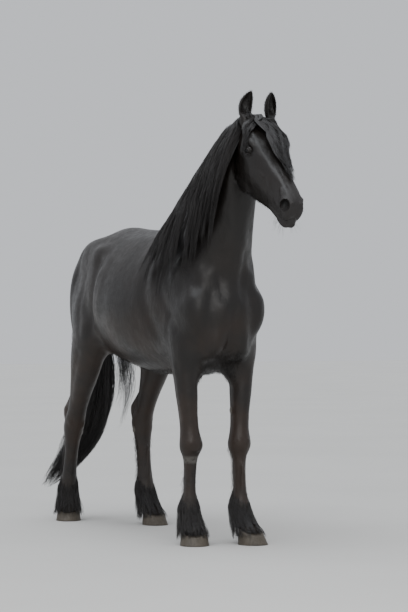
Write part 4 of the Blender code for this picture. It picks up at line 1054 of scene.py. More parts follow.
def pressLines(obj):
    found = pointsOf(obj.data).astype(float)
    normals = np.empty(len(found) * 3, np.float32)
    obj.data.vertices.foreach_get("normal", normals)
    normals = normals.reshape(-1, 3)
    forward, outwards, up = body["middleForward"] - found[:, 1], np.abs(found[:, 0]), found[:, 2]
    lift = np.zeros(len(found))
    for lines, across, facing in ((sideLines, forward, np.abs(normals[:, 0])),
                                  (frontLines, outwards, -normals[:, 1] * (forward > -0.25))):
        shown = np.clip((facing - 0.25) / 0.35, 0, 1)
        for line, wide, height in lines:
            away = awayFrom(np.stack([across, up], 1), line)
            lift += height * shown * np.exp(-0.5 * (away / wide) ** 2)
    # inner sides of the legs keep their plain form
    outer = np.sign(found[:, 0]) * normals[:, 0] > 0
    lift *= np.where((up < 0.95) & ~outer & (normals[:, 1] > -0.5), 0.3, 1.0)
    found = found + normals * lift[:, None]
    obj.data.vertices.foreach_set("co", found.astype(np.float32).ravel())
    obj.data.update()


# The object's mesh grown together again as one even closed skin.
def grownTogether(obj, voxel, fineTurns):
    remesh = obj.modifiers.new("growTogether", "REMESH")
    remesh.mode = "VOXEL"
    remesh.voxel_size = voxel
    if fineTurns:
        fine = obj.modifiers.new("fine", "SMOOTH")
        fine.iterations = fineTurns
    return settle(obj)


def pointsOf(mesh):
    found = np.empty(len(mesh.vertices) * 3, np.float32)
    mesh.vertices.foreach_get("co", found)
    return found.reshape(-1, 3)


# The trunk, neck and legs with their broad muscles blended in.
def broadFlesh():
    bm = bmesh.new()
    for add in (addTrunk, addNeck, addBodyMuscles, addHockPoints, addLegs):
        add(bm)
    flesh = objectOf("broadFlesh", bm)
    grownTogether(flesh, body["coarseVoxel"], 0)
    found = pointsOf(flesh.data)
    up = found[:, 2]
    forward = body["middleForward"] - found[:, 1]
    share = np.clip((up - 0.72) / 0.14, 0, 1) * np.clip((0.14 - forward) / 0.1, 0, 1)
    group = flesh.vertex_groups.new(name="broad")
    for step in range(1, 11):
        chosen = np.flatnonzero(np.round(share * 10) == step)
        group.add(chosen.tolist(), step / 10, "REPLACE")
    broad = flesh.modifiers.new("broad", "SMOOTH")
    broad.factor = 0.8
    broad.iterations = body["broadTurns"]
    broad.vertex_group = "broad"
    settle(flesh)
    pressLines(flesh)
    return flesh


# All the flesh with the head and the fine forms, at the full detail.
def fineFlesh():
    bm = bmesh.new()
    for add in (addHead, addHeadMasses, addHeadFolds, addEarRoots, addKnobs, addChestnuts):
        add(bm)
    flesh = objectOf("fineFlesh", bm)
    broad = broadFlesh()
    bm = bmesh.new()
    bm.from_mesh(flesh.data)
    bm.from_mesh(broad.data)
    bm.to_mesh(flesh.data)
    bm.free()
    bpy.data.objects.remove(broad)
    grownTogether(flesh, body["fineVoxel"], 9)
    carveSockets(flesh)
    return flesh


# The parts of the skin that carry finer detail: how many times their faces are divided.
def detailOf(centres):
    forward, up = body["middleForward"] - centres[:, 1], centres[:, 2]
    detail = np.zeros(len(centres), int)
    headSpot = headPlaces(0.25, 0.0, -0.09)
    nearHead = np.linalg.norm(centres - headSpot, axis=1) < 0.36
    detail[nearHead & (forward > 0.20) & (up > 1.40)] = 1
    detail[(up < 0.60)] = np.maximum(detail[(up < 0.60)], 1)
    for side in (-1, 1):
        for spot, reach in ((eyeFrame(side)[0], 0.050), (nostrilPoint("rim", side), 0.045)):
            detail[np.linalg.norm(centres - np.array(spot), axis=1) < reach] = 2
    return detail


def drawnOnto(target):
    skin = linked("skin", target.data.copy())
    grownTogether(skin, body["skinVoxel"], 0)
    for turn in (1, 2):
        bm = bmesh.new()
        bm.from_mesh(skin.data)
        centres = np.array([face.calc_center_median() for face in bm.faces])
        chosen = detailOf(centres) >= turn
        edges = {edge for face, pick in zip(bm.faces, chosen) if pick for edge in face.edges}
        bmesh.ops.subdivide_edges(bm, edges=list(edges), cuts=1, use_grid_fill=True)
        bmesh.ops.triangulate(bm, faces=[face for face in bm.faces if len(face.verts) > 4])
        bm.to_mesh(skin.data)
        bm.free()
    wrap = skin.modifiers.new("wrap", "SHRINKWRAP")
    wrap.target = target
    ease = skin.modifiers.new("ease", "SMOOTH")
    ease.factor = 0.35
    ease.iterations = 2
    depth = skin.modifiers.new("depth", "DISPLACE")
    depth.strength = -body["coatDepth"]
    depth.mid_level = 0
    return settle(skin)


# Applies a Boolean of the object with the others, and removes them.
def combine(obj, others, operation="DIFFERENCE"):
    for other in others:
        boolean = obj.modifiers.new("combine", "BOOLEAN")
        boolean.operation = operation
        boolean.solver = "MANIFOLD"
        boolean.object = other
    settle(obj)
    for other in others:
        bpy.data.objects.remove(other)
    return obj


earShape = {
    "seat": 0.020,    # from the ear's root up to where its cup starts
    "length": 0.124,
    "wall": 0.0042,
    "opening": 118,   # degrees to each side of its back
}
# height, half width, half depth, how open the cup is, lean across towards the other ear
earRows = (
    (-0.26, 0.022, 0.020, 0.0, 0.0),
    (-0.12, 0.023, 0.021, 0.0, 0.0),
    (0.0, 0.0245, 0.0215, 0.02, 0.0),
    (0.10, 0.027, 0.023, 0.20, -0.001),
    (0.28, 0.031, 0.026, 0.80, -0.002),
    (0.50, 0.031, 0.026, 0.90, -0.001),
    (0.70, 0.026, 0.022, 0.88, 0.003),
    (0.86, 0.017, 0.015, 0.75, 0.008),
    (0.95, 0.009, 0.009, 0.50, 0.012),
    (1.0, 0.0025, 0.0035, 0.2, 0.014),
)


# An upright ear with its cup open to the front and a rolled rim.
def earForm(side):
    base, axis, across, facing = earFrame(side)
    base = base + axis * earShape["seat"]
    rings = []
    for height, wide, deep, cup, lean in smoothRows(earRows, 3):
        middle = base + axis * (height * earShape["length"]) - across * side * lean
        middle -= facing * 0.010 * math.sin(math.pi * max(0.0, height))
        outer, inner = [], []
        for i in range(17):
            angle = math.radians(earShape["opening"] * (i / 8 - 1))
            x, y = math.sin(angle), -math.cos(angle)
            outer.append((wide * x, deep * y))
            wall = min(earShape["wall"], 0.4 * wide)
            hollow = ((wide - wall) * x, (deep - wall) * y)
            front = (0.9 * wide * math.sin(0.5 * angle), deep * (0.45 + 0.55 * math.cos(0.75 * angle)))
            inner.append([front[k] * (1 - cup) + hollow[k] * cup for k in (0, 1)])
        ring = outer + inner[::-1]
        rings.append([middle + across * x + facing * y for x, y in ring])
    return lofted("earForm", rings)


# What the lids leave open: the room of the eyeball and the gap before it.
def eyeOpenings():
    cutters = []
    for side in (-1, 1):
        centre, look, along, across = eyeFrame(side)
        room = eyeRadius + 0.0004
        cutters.append(ellipsoid(centre, (look, along, across), (room, room, room), subdivisions=5))
        front = centre + look * lids["openAhead"]
        cutters.append(ellipsoid(front, (look, along, across), lids["openRadii"], subdivisions=4))
    return cutters


def coronetSlab(leg):
    centre, up, _, left = coronetFrame(leg)
    along = left.cross(up).normalized()
    bm = bmesh.new()
    bmesh.ops.create_cube(bm, size=1)
    for vert in bm.verts:
        vert.co = centre + along * 0.4 * vert.co.x + left * 0.3 * vert.co.y + up * 0.2 * (vert.co.z - 0.5)
    return objectOf("coronetSlab", bm)


def eased(bm, verts, turns, factor):
    axes = {"use_axis_x": True, "use_axis_y": True, "use_axis_z": True}
    for _ in range(turns):
        bmesh.ops.smooth_vert(bm, verts=verts, factor=factor, **axes)


# The joined skin: ears grown on, eyes, nostrils and mouth opened, feet cut off at the coronets.
def makeSkin(target):
    skin = drawnOnto(target)
    combine(skin, [earForm(-1), earForm(1), *lidForms(-1), *lidForms(1)], "UNION")
    bm = bmesh.new()
    bm.from_mesh(skin.data)
    roots = []
    for side in (-1, 1):
        base, axis, _, _ = earFrame(side)
        middle = base + axis * 0.018
        near = [v for v in bm.verts if (v.co - middle).length < 0.034]
        roots += [v for v in near if (v.co - middle).dot(axis) < 0.010]
    aroundEyes = []
    for side in (-1, 1):
        centre = eyeFrame(side)[0]
        aroundEyes += [v for v in bm.verts if (v.co - centre).length < 0.040]
    eased(bm, roots, 6, 0.5)
    eased(bm, aroundEyes, 3, 0.5)
    bm.to_mesh(skin.data)
    bm.free()
    legs = [*foreLegs.values(), *hindLegs.values()]
    cutters = [*eyeOpenings(), *nostrilCutters(), mouthCutter(), *[coronetSlab(leg) for leg in legs]]
    combine(skin, cutters)
    bm = bmesh.new()
    bm.from_mesh(skin.data)
    largestOnly(bm)
    rims = []
    for side in (-1, 1):
        spot = nostrilPoint("rim", side)
        rims += [v for v in bm.verts if (v.co - spot).length < 0.036]
    eased(bm, rims, 3, 0.4)
    bmesh.ops.dissolve_degenerate(bm, edges=bm.edges, dist=1e-6)
    bm.to_mesh(skin.data)
    bm.free()
    skin.data.materials.clear()
    for face in smoothShaded(skin).data.polygons:
        face.material_index = 0
    skin.data.set_sharp_from_angle(angle=math.radians(62))
    return skin


# Drops every scrap but the largest closed surface.
def largestOnly(bm):
    bm.faces.ensure_lookup_table()
    seen, bodies = set(), []
    for start in bm.faces:
        if start in seen:
            continue
        seen.add(start)
        reached, waiting = [start], [start]
        while waiting:
            for edge in waiting.pop().edges:
                for face in edge.link_faces:
                    if face not in seen:
                        seen.add(face)
                        reached.append(face)
                        waiting.append(face)
        bodies.append(reached)
    bodies.sort(key=len, reverse=True)
    spare = [face for reached in bodies[1:] for face in reached]
    if spare:
        bmesh.ops.delete(bm, geom=spare, context="FACES")


eyeball = {
    "corneaReach": 0.62,   # of the half width that the clear bulge covers
    "corneaRise": 0.0022,
    "pupilLong": 0.42,
    "pupilHigh": 0.24,
}


def makeEye(name, side):
    centre, look, along, across = eyeFrame(side)
    bm = bmesh.new()
    bmesh.ops.create_uvsphere(bm, u_segments=56, v_segments=40, radius=1)
    ways = Matrix((along, across, look)).transposed()
    angles, pupils = [], []
    for vert in bm.verts:
        x, y, z = vert.co
        off = math.hypot(x, y)
        rise = 0.0
        if z > 0 and off < eyeball["corneaReach"]:
            rise = eyeball["corneaRise"] * (1 - (off / eyeball["corneaReach"]) ** 2)
        angles.append(0.5 + 0.5 * z)
        oval = math.hypot(x / eyeball["pupilLong"], y / eyeball["pupilHigh"])
        pupils.append(max(0.0, 1 - 0.5 * oval) if z > 0 else 0.0)
        vert.co = centre + ways @ (vert.co * (eyeRadius + rise))
    obj = objectOf(name, bm)
    for attribute, values in (("lookAngle", angles), ("pupilShare", pupils)):
        layer = obj.data.attributes.new(attribute, "FLOAT", "POINT")
        layer.data.foreach_set("value", values)
    return smoothShaded(obj)


hoofShape = {
    "foreHalf": (0.077, 0.070),
    "hindHalf": (0.074, 0.066),
    "segments": 72,
    "growthRings": 9,
    "ringDepth": 0.00055,
}


# A hoof: a flat sole on the floor, walls with faint growth rings that slope in to the coronet.
def makeHoof(name, leg, halves):
    centre, up, ahead, left = coronetFrame(leg)
    halfLong, halfWide = halves
    ground = place(*leg["hoof"])
    along = left.cross(up).normalized()
    levels = [(0.0, -0.0012), (0.012, 0.0), (0.05, 0.0)]
    levels += [(0.05 + 0.89 * i / 30, 0.0) for i in range(1, 31)]
    levels += [(0.97, -0.0015), (0.994, -0.006)]
    rings = []
    for share, inset in levels:
        swell = 0.014 * math.sin(math.pi * min(1.0, share * 1.05)) - (0.010 if share > 0.98 else 0)
        ripple = hoofShape["ringDepth"] * math.sin(2 * math.pi * hoofShape["growthRings"] * share)
        ring = []
        for i in range(hoofShape["segments"]):
            angle = 2 * math.pi * i / hoofShape["segments"]
            x, y = math.cos(angle), math.sin(angle)
            heel = 1.0 if x > -0.2 else 1 - 0.16 * ((-x - 0.2) / 0.8) ** 2
            notch = 0.12 * max(0.0, -x) ** 3 * max(0.0, 1 - abs(y) / 0.45)
            sole = ground + ahead * halfLong * (x + notch) + left * halfWide * y * heel
            top = centre - up * 0.0003 + along * halfLong * 0.80 * x + left * halfWide * 0.84 * y
            point = sole.lerp(top, share)
            if share <= 0.05:
                point = sole + Vector((0, 0, share * hoofHeight))
            middle = sole.lerp(centre, share)
            away = (ahead * x + left * y).normalized()
            point = point + (point - middle) * swell + away * (ripple * (0 < share < 0.97) + inset)
            ring.append(point)
        rings.append(ring)
    obj = smoothShaded(lofted(name, rings))
    obj.data.set_sharp_from_angle(angle=math.radians(45))
    return obj


# Hair and fur: joined meshes of thin tapered strands, made from arrays of paths

# How far up the neck from its root, in metres.
def neckShare(forward, up):
    return (forward + 0.165) * 0.8 + (up - 1.40) * 0.6


def headAt(forward, up):
    return (forward > 0.215 - 0.1 * (1.97 - up)) & (up > 1.40)


# How far down the face and out of it, in metres from the poll.
def faceAndOut(forward, up):
    forward, up = forward - poll[0], up - poll[2]
    face = forward * math.cos(headPitch) - up * math.sin(headPitch)
    return face, forward * math.sin(headPitch) + up * math.cos(headPitch)


# The place of a point on an unwrap of the skin: cylinders round trunk, neck, head and each leg.
def unwrapPlaces(points):
    left, up = points[:, 0], points[:, 2]
    forward = body["middleForward"] - points[:, 1]
    found = np.zeros((len(points), 2))

    def put(chosen, turn, along, corner, size):
        share = np.stack([turn / (2 * math.pi) % 1.0, np.clip(along, 0, 1)], 1)
        found[chosen] = (np.array(corner) + np.array(size) * share)[chosen]

    put(up > -1, np.arctan2(left, up - 1.2), (forward + 1.85) / 2.1, (0.01, 0.01), (0.56, 0.48))
    crest = neckShare(forward, up)
    turn = np.arctan2(left, (up - 1.62) * 0.8 - forward * 0.6)
    put(crest > 0, turn, crest / 0.9, (0.01, 0.51), (0.48, 0.22))
    face, out = faceAndOut(forward, up)
    turn = np.arctan2(left, out + 0.11)
    put(headAt(forward, up), turn, (face + 0.12) / 0.70, (0.01, 0.75), (0.48, 0.23))
    corners = {"foreright": 0, "foreleft": 1, "hindright": 2, "hindleft": 3}
    for end, legs, joints in (("fore", foreLegs, ("elbow", "knee", "fetlock", "hoof")),
                              ("hind", hindLegs, ("stifle", "hock", "fetlock", "hoof"))):
        for side, leg in legs.items():
            bones = np.array([leg[joint] for joint in joints])[::-1]
            axisForward = np.interp(up, bones[:, 2], bones[:, 0])
            axisLeft = np.interp(up, bones[:, 2], bones[:, 1])
            near = (up < 0.80) & (np.hypot(forward - axisForward, left - axisLeft) < 0.20)
            near &= np.sign(left) == np.sign(leg["hoof"][1])
            column = corners[end + side]
            put(near, np.arctan2(left - axisLeft, forward - axisForward), up / 0.80,
                (0.59 + 0.10 * column, 0.01), (0.085, 0.97))
    return found


def unit(vectors):
    return vectors / np.maximum(np.linalg.norm(vectors, axis=-1, keepdims=True), 1e-9)


# paths [strand, point, xyz], outs the way off the surface, widths [strand, point], tones [strand]
def strandPiece(name, paths, outs, widths, tones, material, flat=0.45, sides=3):
    count, steps, _ = paths.shape
    paths[..., 2] = np.maximum(paths[..., 2], 0.0015)
    along = unit(np.gradient(paths, axis=1))
    out = unit(outs - along * (outs * along).sum(-1, keepdims=True))
    aside = np.cross(along, out)
    turns = math.pi / 2 + 2 * math.pi * np.arange(sides) / sides
    ring = (aside[:, :, None] * (np.cos(turns)[:, None] * widths[:, :, None, None])
            + out[:, :, None] * (np.sin(turns)[:, None] * widths[:, :, None, None] * flat))
    verts = (paths[:, :, None] + ring).reshape(-1, 3)
    first = (np.arange(count) * steps * sides)[:, None, None]
    level = (np.arange(steps - 1) * sides)[None, :, None]
    a = np.arange(sides)
    b = (a + 1) % sides
    base = first + level
    quads = np.stack([base + a, base + b, base + sides + b, base + sides + a], -1).reshape(-1, 4)
    roots = (first[:, 0] + a[::-1]).reshape(-1, sides)
    tips = (first[:, 0] + (steps - 1) * sides + a).reshape(-1, sides)
    mesh = bpy.data.meshes.new(name)
    mesh.vertices.add(len(verts))
    mesh.vertices.foreach_set("co", verts.astype(np.float32).ravel())
    corners = np.concatenate([quads.ravel(), roots.ravel(), tips.ravel()])
    totals = np.concatenate([np.full(len(quads), 4), np.full(2 * count, sides)])
    starts = np.concatenate([[0], np.cumsum(totals)[:-1]])
    mesh.loops.add(len(corners))
    mesh.loops.foreach_set("vertex_index", corners.astype(np.int32))
    mesh.polygons.add(len(totals))
    mesh.polygons.foreach_set("loop_start", starts.astype(np.int32))
    mesh.polygons.foreach_set("loop_total", totals.astype(np.int32))
    mesh.polygons.foreach_set("use_smooth", np.ones(len(totals), bool))
    tone = mesh.attributes.new("strandTone", "FLOAT", "POINT")
    tone.data.foreach_set("value", np.repeat(tones, steps * sides).astype(np.float32))
    # each strand is a small patch at its root's place on the unwrap of the skin
    patch = unwrapPlaces(paths[:, 0])[:, None, None] * np.ones((1, steps, sides, 1))
    patch[..., 0] += 0.003 * (np.arange(sides) / (sides - 1) - 0.5)[None, None]
    patch[..., 1] += 0.003 * (np.arange(steps) / (steps - 1) - 0.5)[None, :, None]
    layer = mesh.uv_layers.new(name="OFBake")
    layer.uv.foreach_set("vector", patch.reshape(-1, 2)[corners].astype(np.float32).ravel())
    mesh.update(calc_edges=True)
    mesh.validate()
    mesh.materials.append(material)
    print("piece", name, count, "strands", int((totals - 2).sum()), "triangles")
    return linked(name, mesh)


# The points moved out until each is its room away from every surface.
def keptOut(points, rooms, trees, reach=0.05):
    flat = points.reshape(-1, 3)
    rooms = np.broadcast_to(rooms, points.shape[:-1]).reshape(-1)
    for tree in trees:
        for i, (point, room) in enumerate(zip(flat, rooms)):
            near, normal, _, away = tree.find_nearest(Vector(point), reach)
            if near is None:
                continue
            if (Vector(point) - near).dot(normal) < 0:
                away = -away
            if away < room:
                flat[i] = near + normal * room
    return flat.reshape(points.shape)


# Each strand's half width at its points, thinner towards the tip.
def strandWidths(draw, count, share, half, tip=0.16):
    form = (0.62 + 0.38 * np.minimum(1, share * 5)) * (1 - (1 - tip) * share**2.4)
    return half * draw.uniform(0.75, 1.25, (count, 1)) * form[None]


def columnAt(rows, share):
    at = np.clip(share, 0, 1) * (len(rows) - 1)
    return np.stack([np.interp(at, np.arange(len(rows)), rows[:, k]) for k in range(rows.shape[1])], -1)


maneColumns = [smoothRows([row[k] for row in maneRows], 8) for k in range(3)]


# Points of the mane's middle surface, by the shares of the crest and of the fall.
def manePlaces(along, down):
    root, middle, tip = [columnAt(column, along) for column in maneColumns]
    bulge = 2 * middle - 0.5 * (root + tip)
    down = down[..., None]
    found = (1 - down) ** 2 * root + 2 * down * (1 - down) * bulge + down**2 * tip
    return places(found[..., 0], found[..., 1], found[..., 2])


def maneOuts(along, down):
    ahead = manePlaces(np.minimum(1, along + 0.02), down) - manePlaces(np.maximum(0, along - 0.02), down)
    fall = manePlaces(along, down + 0.02) - manePlaces(along, down - 0.02)
    out = unit(np.cross(ahead, fall))
    return np.where(out[..., :1] > 0, -out, out)


maneHair = {
    "pieces": 3,
    "strands": 1750,  # in each piece
    "points": 16,
    "locks": 90,
    "halfWide": 0.00135,
    "rootSpread": 0.030,   # of the crest's length
    "tipSpread": 0.0062,
    "waves": (2.3, 4.3),
    "waveSize": (0.009, 0.021),
    "crestRise": 0.020,
    "layers": 0.008,
    "length": (0.70, 1.12),
}


def maneStrands(draw, count, trees, locks):
    steps = maneHair["points"]
    share = np.linspace(0, 1, steps)
    own = draw.integers(0, maneHair["locks"], count)
    stray = draw.random(count) < 0.10
    along0 = locks["along"][own] + draw.uniform(-1, 1, count) * maneHair["rootSpread"]
    side, depth = draw.uniform(-1, 1, count), draw.uniform(-1, 1, count)
    length = locks["length"][own] * draw.uniform(0.80, 1.02, count)
    gather = np.clip(share * 1.25, 0, 1) ** 0.7
    spread = side[:, None] * maneHair["tipSpread"] * (1 + 2.6 * stray[:, None])
    start = (along0 - locks["along"][own])[:, None]
    phase = locks["phase"][own] + draw.normal(0, 0.35, count) * (1 + 2 * stray)
    wave = np.sin(2 * math.pi * locks["waves"][own][:, None] * share + phase[:, None])
    size = (locks["size"][own] * draw.uniform(0.6, 1.2, count))[:, None] * np.minimum(1, 3 * share)
    across = locks["along"][own][:, None] + start * (1 - gather) + spread * gather
    across = across + locks["drift"][own][:, None] * share + wave * size
    down = length[:, None] * share
    out = maneOuts(np.clip(across, 0, 1), down)
    layer = locks["layer"][own][:, None]
    lift = 0.006 + maneHair["layers"] * layer + 0.006 * depth[:, None] * (1 - 0.4 * share)
    lift = lift + 0.005 * np.sin(2 * math.pi * 1.3 * share + phase[:, None] * 1.7)
    crest = np.clip(1 - 1.4 * across, 0.10, 1) * np.clip(1 - 2.2 * np.abs(share - 0.14), 0, 1)
    lift = lift + maneHair["crestRise"] * crest
    points = manePlaces(across, down) + out * lift[..., None]
    points[:, 0] = manePlaces(np.clip(along0, 0, 1)[:, None], np.zeros((count, 1)))[:, 0]
    points[:, 0, 0] += draw.uniform(-0.012, 0.012, count)
    points[:, 0, 2] -= 0.014
    room = (0.004 + 0.006 * layer) * np.minimum(1, 4 * share)
    points[:, 1:] = keptOut(points[:, 1:], room[:, 1:], trees)
    return points, out, share


def makeMane(material, trees):
    draw = np.random.default_rng(21)
    number = maneHair["locks"]
    locks = {
        "along": np.clip((np.arange(number) + draw.uniform(0.1, 0.9, number)) / number, 0.004, 0.985),
        "layer": np.arange(number) % 3,
        "length": draw.uniform(*maneHair["length"], number),
        "phase": draw.uniform(0, 2 * math.pi, number),
        "waves": draw.uniform(*maneHair["waves"], number),
        "size": draw.uniform(*maneHair["waveSize"], number),
        "drift": draw.uniform(-0.045, 0.045, number),
    }
    made = []
    for i in range(maneHair["pieces"]):
        count = maneHair["strands"]
        points, out, share = maneStrands(draw, count, trees, locks)
        widths = strandWidths(draw, count, share, maneHair["halfWide"])
        made.append(strandPiece(f"mane{i + 1}", points, out, widths, draw.random(count), material))
    return made


# The tail's middle, ways across and back, half width and half thickness by the share of its fall.
def tailPlaces(down):
    rows = smoothRows(dockRows, 6)
    found, later = columnAt(rows, down), columnAt(rows, np.minimum(1, down + 0.01))
    before = columnAt(rows, np.maximum(0, down - 0.01))
    fall = unit(places(*np.moveaxis(later[..., :3], -1, 0)) - places(*np.moveaxis(before[..., :3], -1, 0)))
    across = np.broadcast_to(np.array([1.0, 0, 0]), fall.shape)
    back = unit(np.cross(across, fall))
    return places(*np.moveaxis(found[..., :3], -1, 0)), across, back, found[..., 3], found[..., 4]


tailHair = {
    "pieces": 2,
    "strands": 1600,
    "points": 18,
    "locks": 56,
    "halfWide": 0.0016,
    "dock": 0.36,          # the share of the fall that hair grows from
    "clump": 0.014,
    "waves": (1.6, 3.2),
    "waveSize": (0.006, 0.018),
}


def makeTail(material, trees):
    draw = np.random.default_rng(22)
    number = tailHair["locks"]
    golden = math.pi * (3 - math.sqrt(5))
    angle = golden * np.arange(number)
    start = tailHair["dock"] * (np.arange(number) / number) ** 0.8
    end = np.clip(draw.uniform(0.86, 1.04, number), 0, 1)
    end = np.where(draw.random(number) < 0.25, draw.uniform(0.62, 0.85, number), end)
    reach = draw.uniform(0.25, 1.0, number) ** 0.7
    wisp = np.arange(number) % 9 == 3
    reach = np.where(wisp, draw.uniform(1.25, 2.0, number), reach)
    angle = np.where(wisp, draw.uniform(-0.5, 0.5, number), angle)
    end = np.where(wisp, draw.uniform(0.60, 0.8, number), end)
    waves = draw.uniform(*tailHair["waves"], number)
    size = draw.uniform(*tailHair["waveSize"], number)
    phase = draw.uniform(0, 2 * math.pi, number)
    swing = draw.uniform(-0.35, 0.35, number)
    made = []
    steps = tailHair["points"]
    share = np.linspace(0, 1, steps)
    for i in range(tailHair["pieces"]):
        count = tailHair["strands"]
        own = draw.integers(0, number, count)
        stray = draw.random(count) < 0.08
        first = np.clip(start[own] + draw.uniform(-0.05, 0.05, count), 0.0, 1)
        last = end[own] * draw.uniform(0.84, 1.0, count)
        down = first[:, None] + (last - first)[:, None] * share
        middle, across, back, wide, thick = tailPlaces(down)
        turn = (angle[own] + draw.normal(0, 0.10, count))[:, None] + swing[own][:, None] * share
        out = np.minimum(1, 0.42 + 2.2 * share)
        ring = reach[own][:, None] * out * (1 - 0.15 * share)
        x, y = np.cos(turn) * ring * wide, np.sin(turn) * ring * thick
        clump = tailHair["clump"] * (1 - 0.72 * share**1.3) * (1 + 1.5 * (stray | wisp[own])[:, None])
        x = x + draw.uniform(-1, 1, count)[:, None] * clump
        y = y + draw.uniform(-1, 1, count)[:, None] * clump * 0.7
        grow = np.minimum(1, 2.5 * share)
        strandPhase = (phase[own] + draw.normal(0, 0.3, count))[:, None]
        x = x + np.sin(2 * math.pi * waves[own][:, None] * share + strandPhase) * size[own][:, None] * grow
        y = y + np.sin(2 * math.pi * waves[own][:, None] * 0.8 * share + 2 * strandPhase) * 0.006 * grow
        points = middle + across * x[..., None] + back * y[..., None]
        outs = across * np.cos(turn)[..., None] + back * np.sin(turn)[..., None]
        points[:, 0] = middle[:, 0] + (points[:, 0] - middle[:, 0]) * 0.5
        points[:, 1:] = keptOut(points[:, 1:], 0.006, trees)
        widths = strandWidths(draw, count, share, tailHair["halfWide"])
        made.append(strandPiece(f"tailHair{i + 1}", points, outs, widths, draw.random(count), material))
    return made


forelockHair = {
    "strands": 2200,
    "points": 14,
    "locks": 24,
    "sideLocks": 6,
    "halfWide": 0.00105,
}


def makeForelock(material, trees):
    draw = np.random.default_rng(23)
    number, count = forelockHair["locks"], forelockHair["strands"]
    share = np.linspace(0, 1, forelockHair["points"])
    few = forelockHair["sideLocks"]
    aside = np.concatenate([2 * np.arange(n) / (n - 1) - 1 for n in (few, number - few)])
    length = 1.0 - 0.26 * np.abs(aside) - draw.uniform(0, 0.24, number)
    phase = draw.uniform(0, 2 * math.pi, number)
    own = draw.integers(0, number, count)
    spread = aside[own] + draw.normal(0, 0.065, count)
    rootAside = aside[own] + draw.uniform(-0.25, 0.25, count)
    at = (length[own] * draw.uniform(0.80, 1.02, count))[:, None] * share
    rows, sideRows = smoothRows(forelockRows, 6), smoothRows(sideLockRows, 6)
    found = np.where((own < few)[:, None, None], columnAt(sideRows, at), columnAt(rows, at))
    along, across, out, wide = np.moveaxis(found, -1, 0)
    gather = np.clip(1.5 * share, 0, 1)
    sideways = rootAside[:, None] * (1 - gather) + spread[:, None] * gather * 0.92
    strandPhase = (phase[own] + draw.normal(0, 0.3, count))[:, None]
    wave = 0.0115 * np.sin(2 * math.pi * 2.3 * share + strandPhase) * np.minimum(1, 3 * share)
    offset = sideways * wide + wave
    slant = across / 0.06
    points = headPlaces(along, across + offset, out - 0.55 * slant * offset)
    outs = unit(headPlaces(0 * share, 0.55 * slant + 4 * offset, 1 + 0 * offset) - headPlaces(0.0, 0.0, 0.0))
    layer = (own * 7 % 4)[:, None]
    room = 0.004 + 0.0065 * layer + 0.003 * draw.random((count, 1))
    room = room + 0.010 * np.maximum(0, sideways) * np.sin(math.pi * share)
    points = keptOut(points, room, trees)
    points[:, 0] -= outs[:, 0] * 0.016
    widths = strandWidths(draw, count, share, forelockHair["halfWide"])
    return strandPiece("forelock", points, outs, widths, draw.random(count), material)


featherHair = {
    "strands": 1250,  # on each foot
    "points": 9,
    "locks": 27,
    "halfWide": 0.00085,
    "spread": math.radians(172),        # to each side of straight back
    "up": 0.120,
}


def makeFeather(name, leg, material, trees, seed):
    draw = np.random.default_rng(seed)
    count, number = featherHair["strands"], featherHair["locks"]
    share = np.linspace(0, 1, featherHair["points"])
    fetlock, foot = np.array(leg["fetlock"]), np.array(leg["hoof"])
    ahead = np.array([math.cos(leg["turn"]), math.sin(leg["turn"]), 0])
    left = np.array([-ahead[1], ahead[0], 0])
    own = draw.integers(0, number, count)
    aside = 2 * own / (number - 1) - 1
    root = aside + draw.uniform(-0.16, 0.16, count)
    gather = np.clip(1.4 * share, 0, 1)
    turn = featherHair["spread"] * (root[:, None] * (1 - gather) + aside[:, None] * gather)
    turn = turn + draw.normal(0, 0.05, count)[:, None] * share
    away = left * np.sin(turn)[..., None] - ahead * np.cos(turn)[..., None]
    high = fetlock[2] + featherHair["up"] * draw.random(count) ** 0.8 - 0.075 * np.abs(aside)
    high = np.maximum(high, 0.105)
    low = np.maximum(0.010 + 0.026 * np.abs(aside) + draw.uniform(0, 0.022, count), high - 0.17)
    up = high[:, None] + (low - high)[:, None] * share
    upper, lower = np.array(leg.get("knee") or leg["hock"]), fetlock + 0.8 * (foot - fetlock)
    heights = (0.0, fetlock[2], upper[2])
    middle = np.stack([np.interp(up, heights, (lower[k], fetlock[k], upper[k])) for k in (0, 1)] + [up], -1)
    sway = 0.005 * np.sin(7 * share + 1.9 * own[:, None]) * share
    reach = (0.032 + 0.040 * share)[None, :, None] + 0.004 * (own % 3)[:, None, None] * share[None, :, None]
    points = middle + away * reach + left * sway[..., None]
    points = places(points[..., 0], points[..., 1], points[..., 2])
    outs = places(away[..., 0], away[..., 1], away[..., 2]) - places(0.0, 0.0, 0.0)
    room = np.minimum(1, 3 * share) * (0.003 + 0.003 * (own % 3)[:, None] + 0.003 * draw.random((count, 1)))
    points = keptOut(points, room, trees)
    points[:, 0] -= outs[:, 0] * 0.004
    widths = strandWidths(draw, count, share, featherHair["halfWide"])
    return strandPiece(name, points, outs, widths, draw.random(count), material)


furHair = {
    "pieces": 2,
    "strands": 6200,  # in each piece
    "points": 4,
    "halfWide": 0.00055,
}


# An ear's axis, how far up it the places lie, and which of them are on it.
def aboutEar(points, side):
    base, axis, _, _ = earFrame(side)
    height = (points - np.array(base)) @ np.array(axis)
    near = np.linalg.norm(points - np.array(base + axis * 0.07), axis=1) < 0.085
    return np.array(axis), height, near


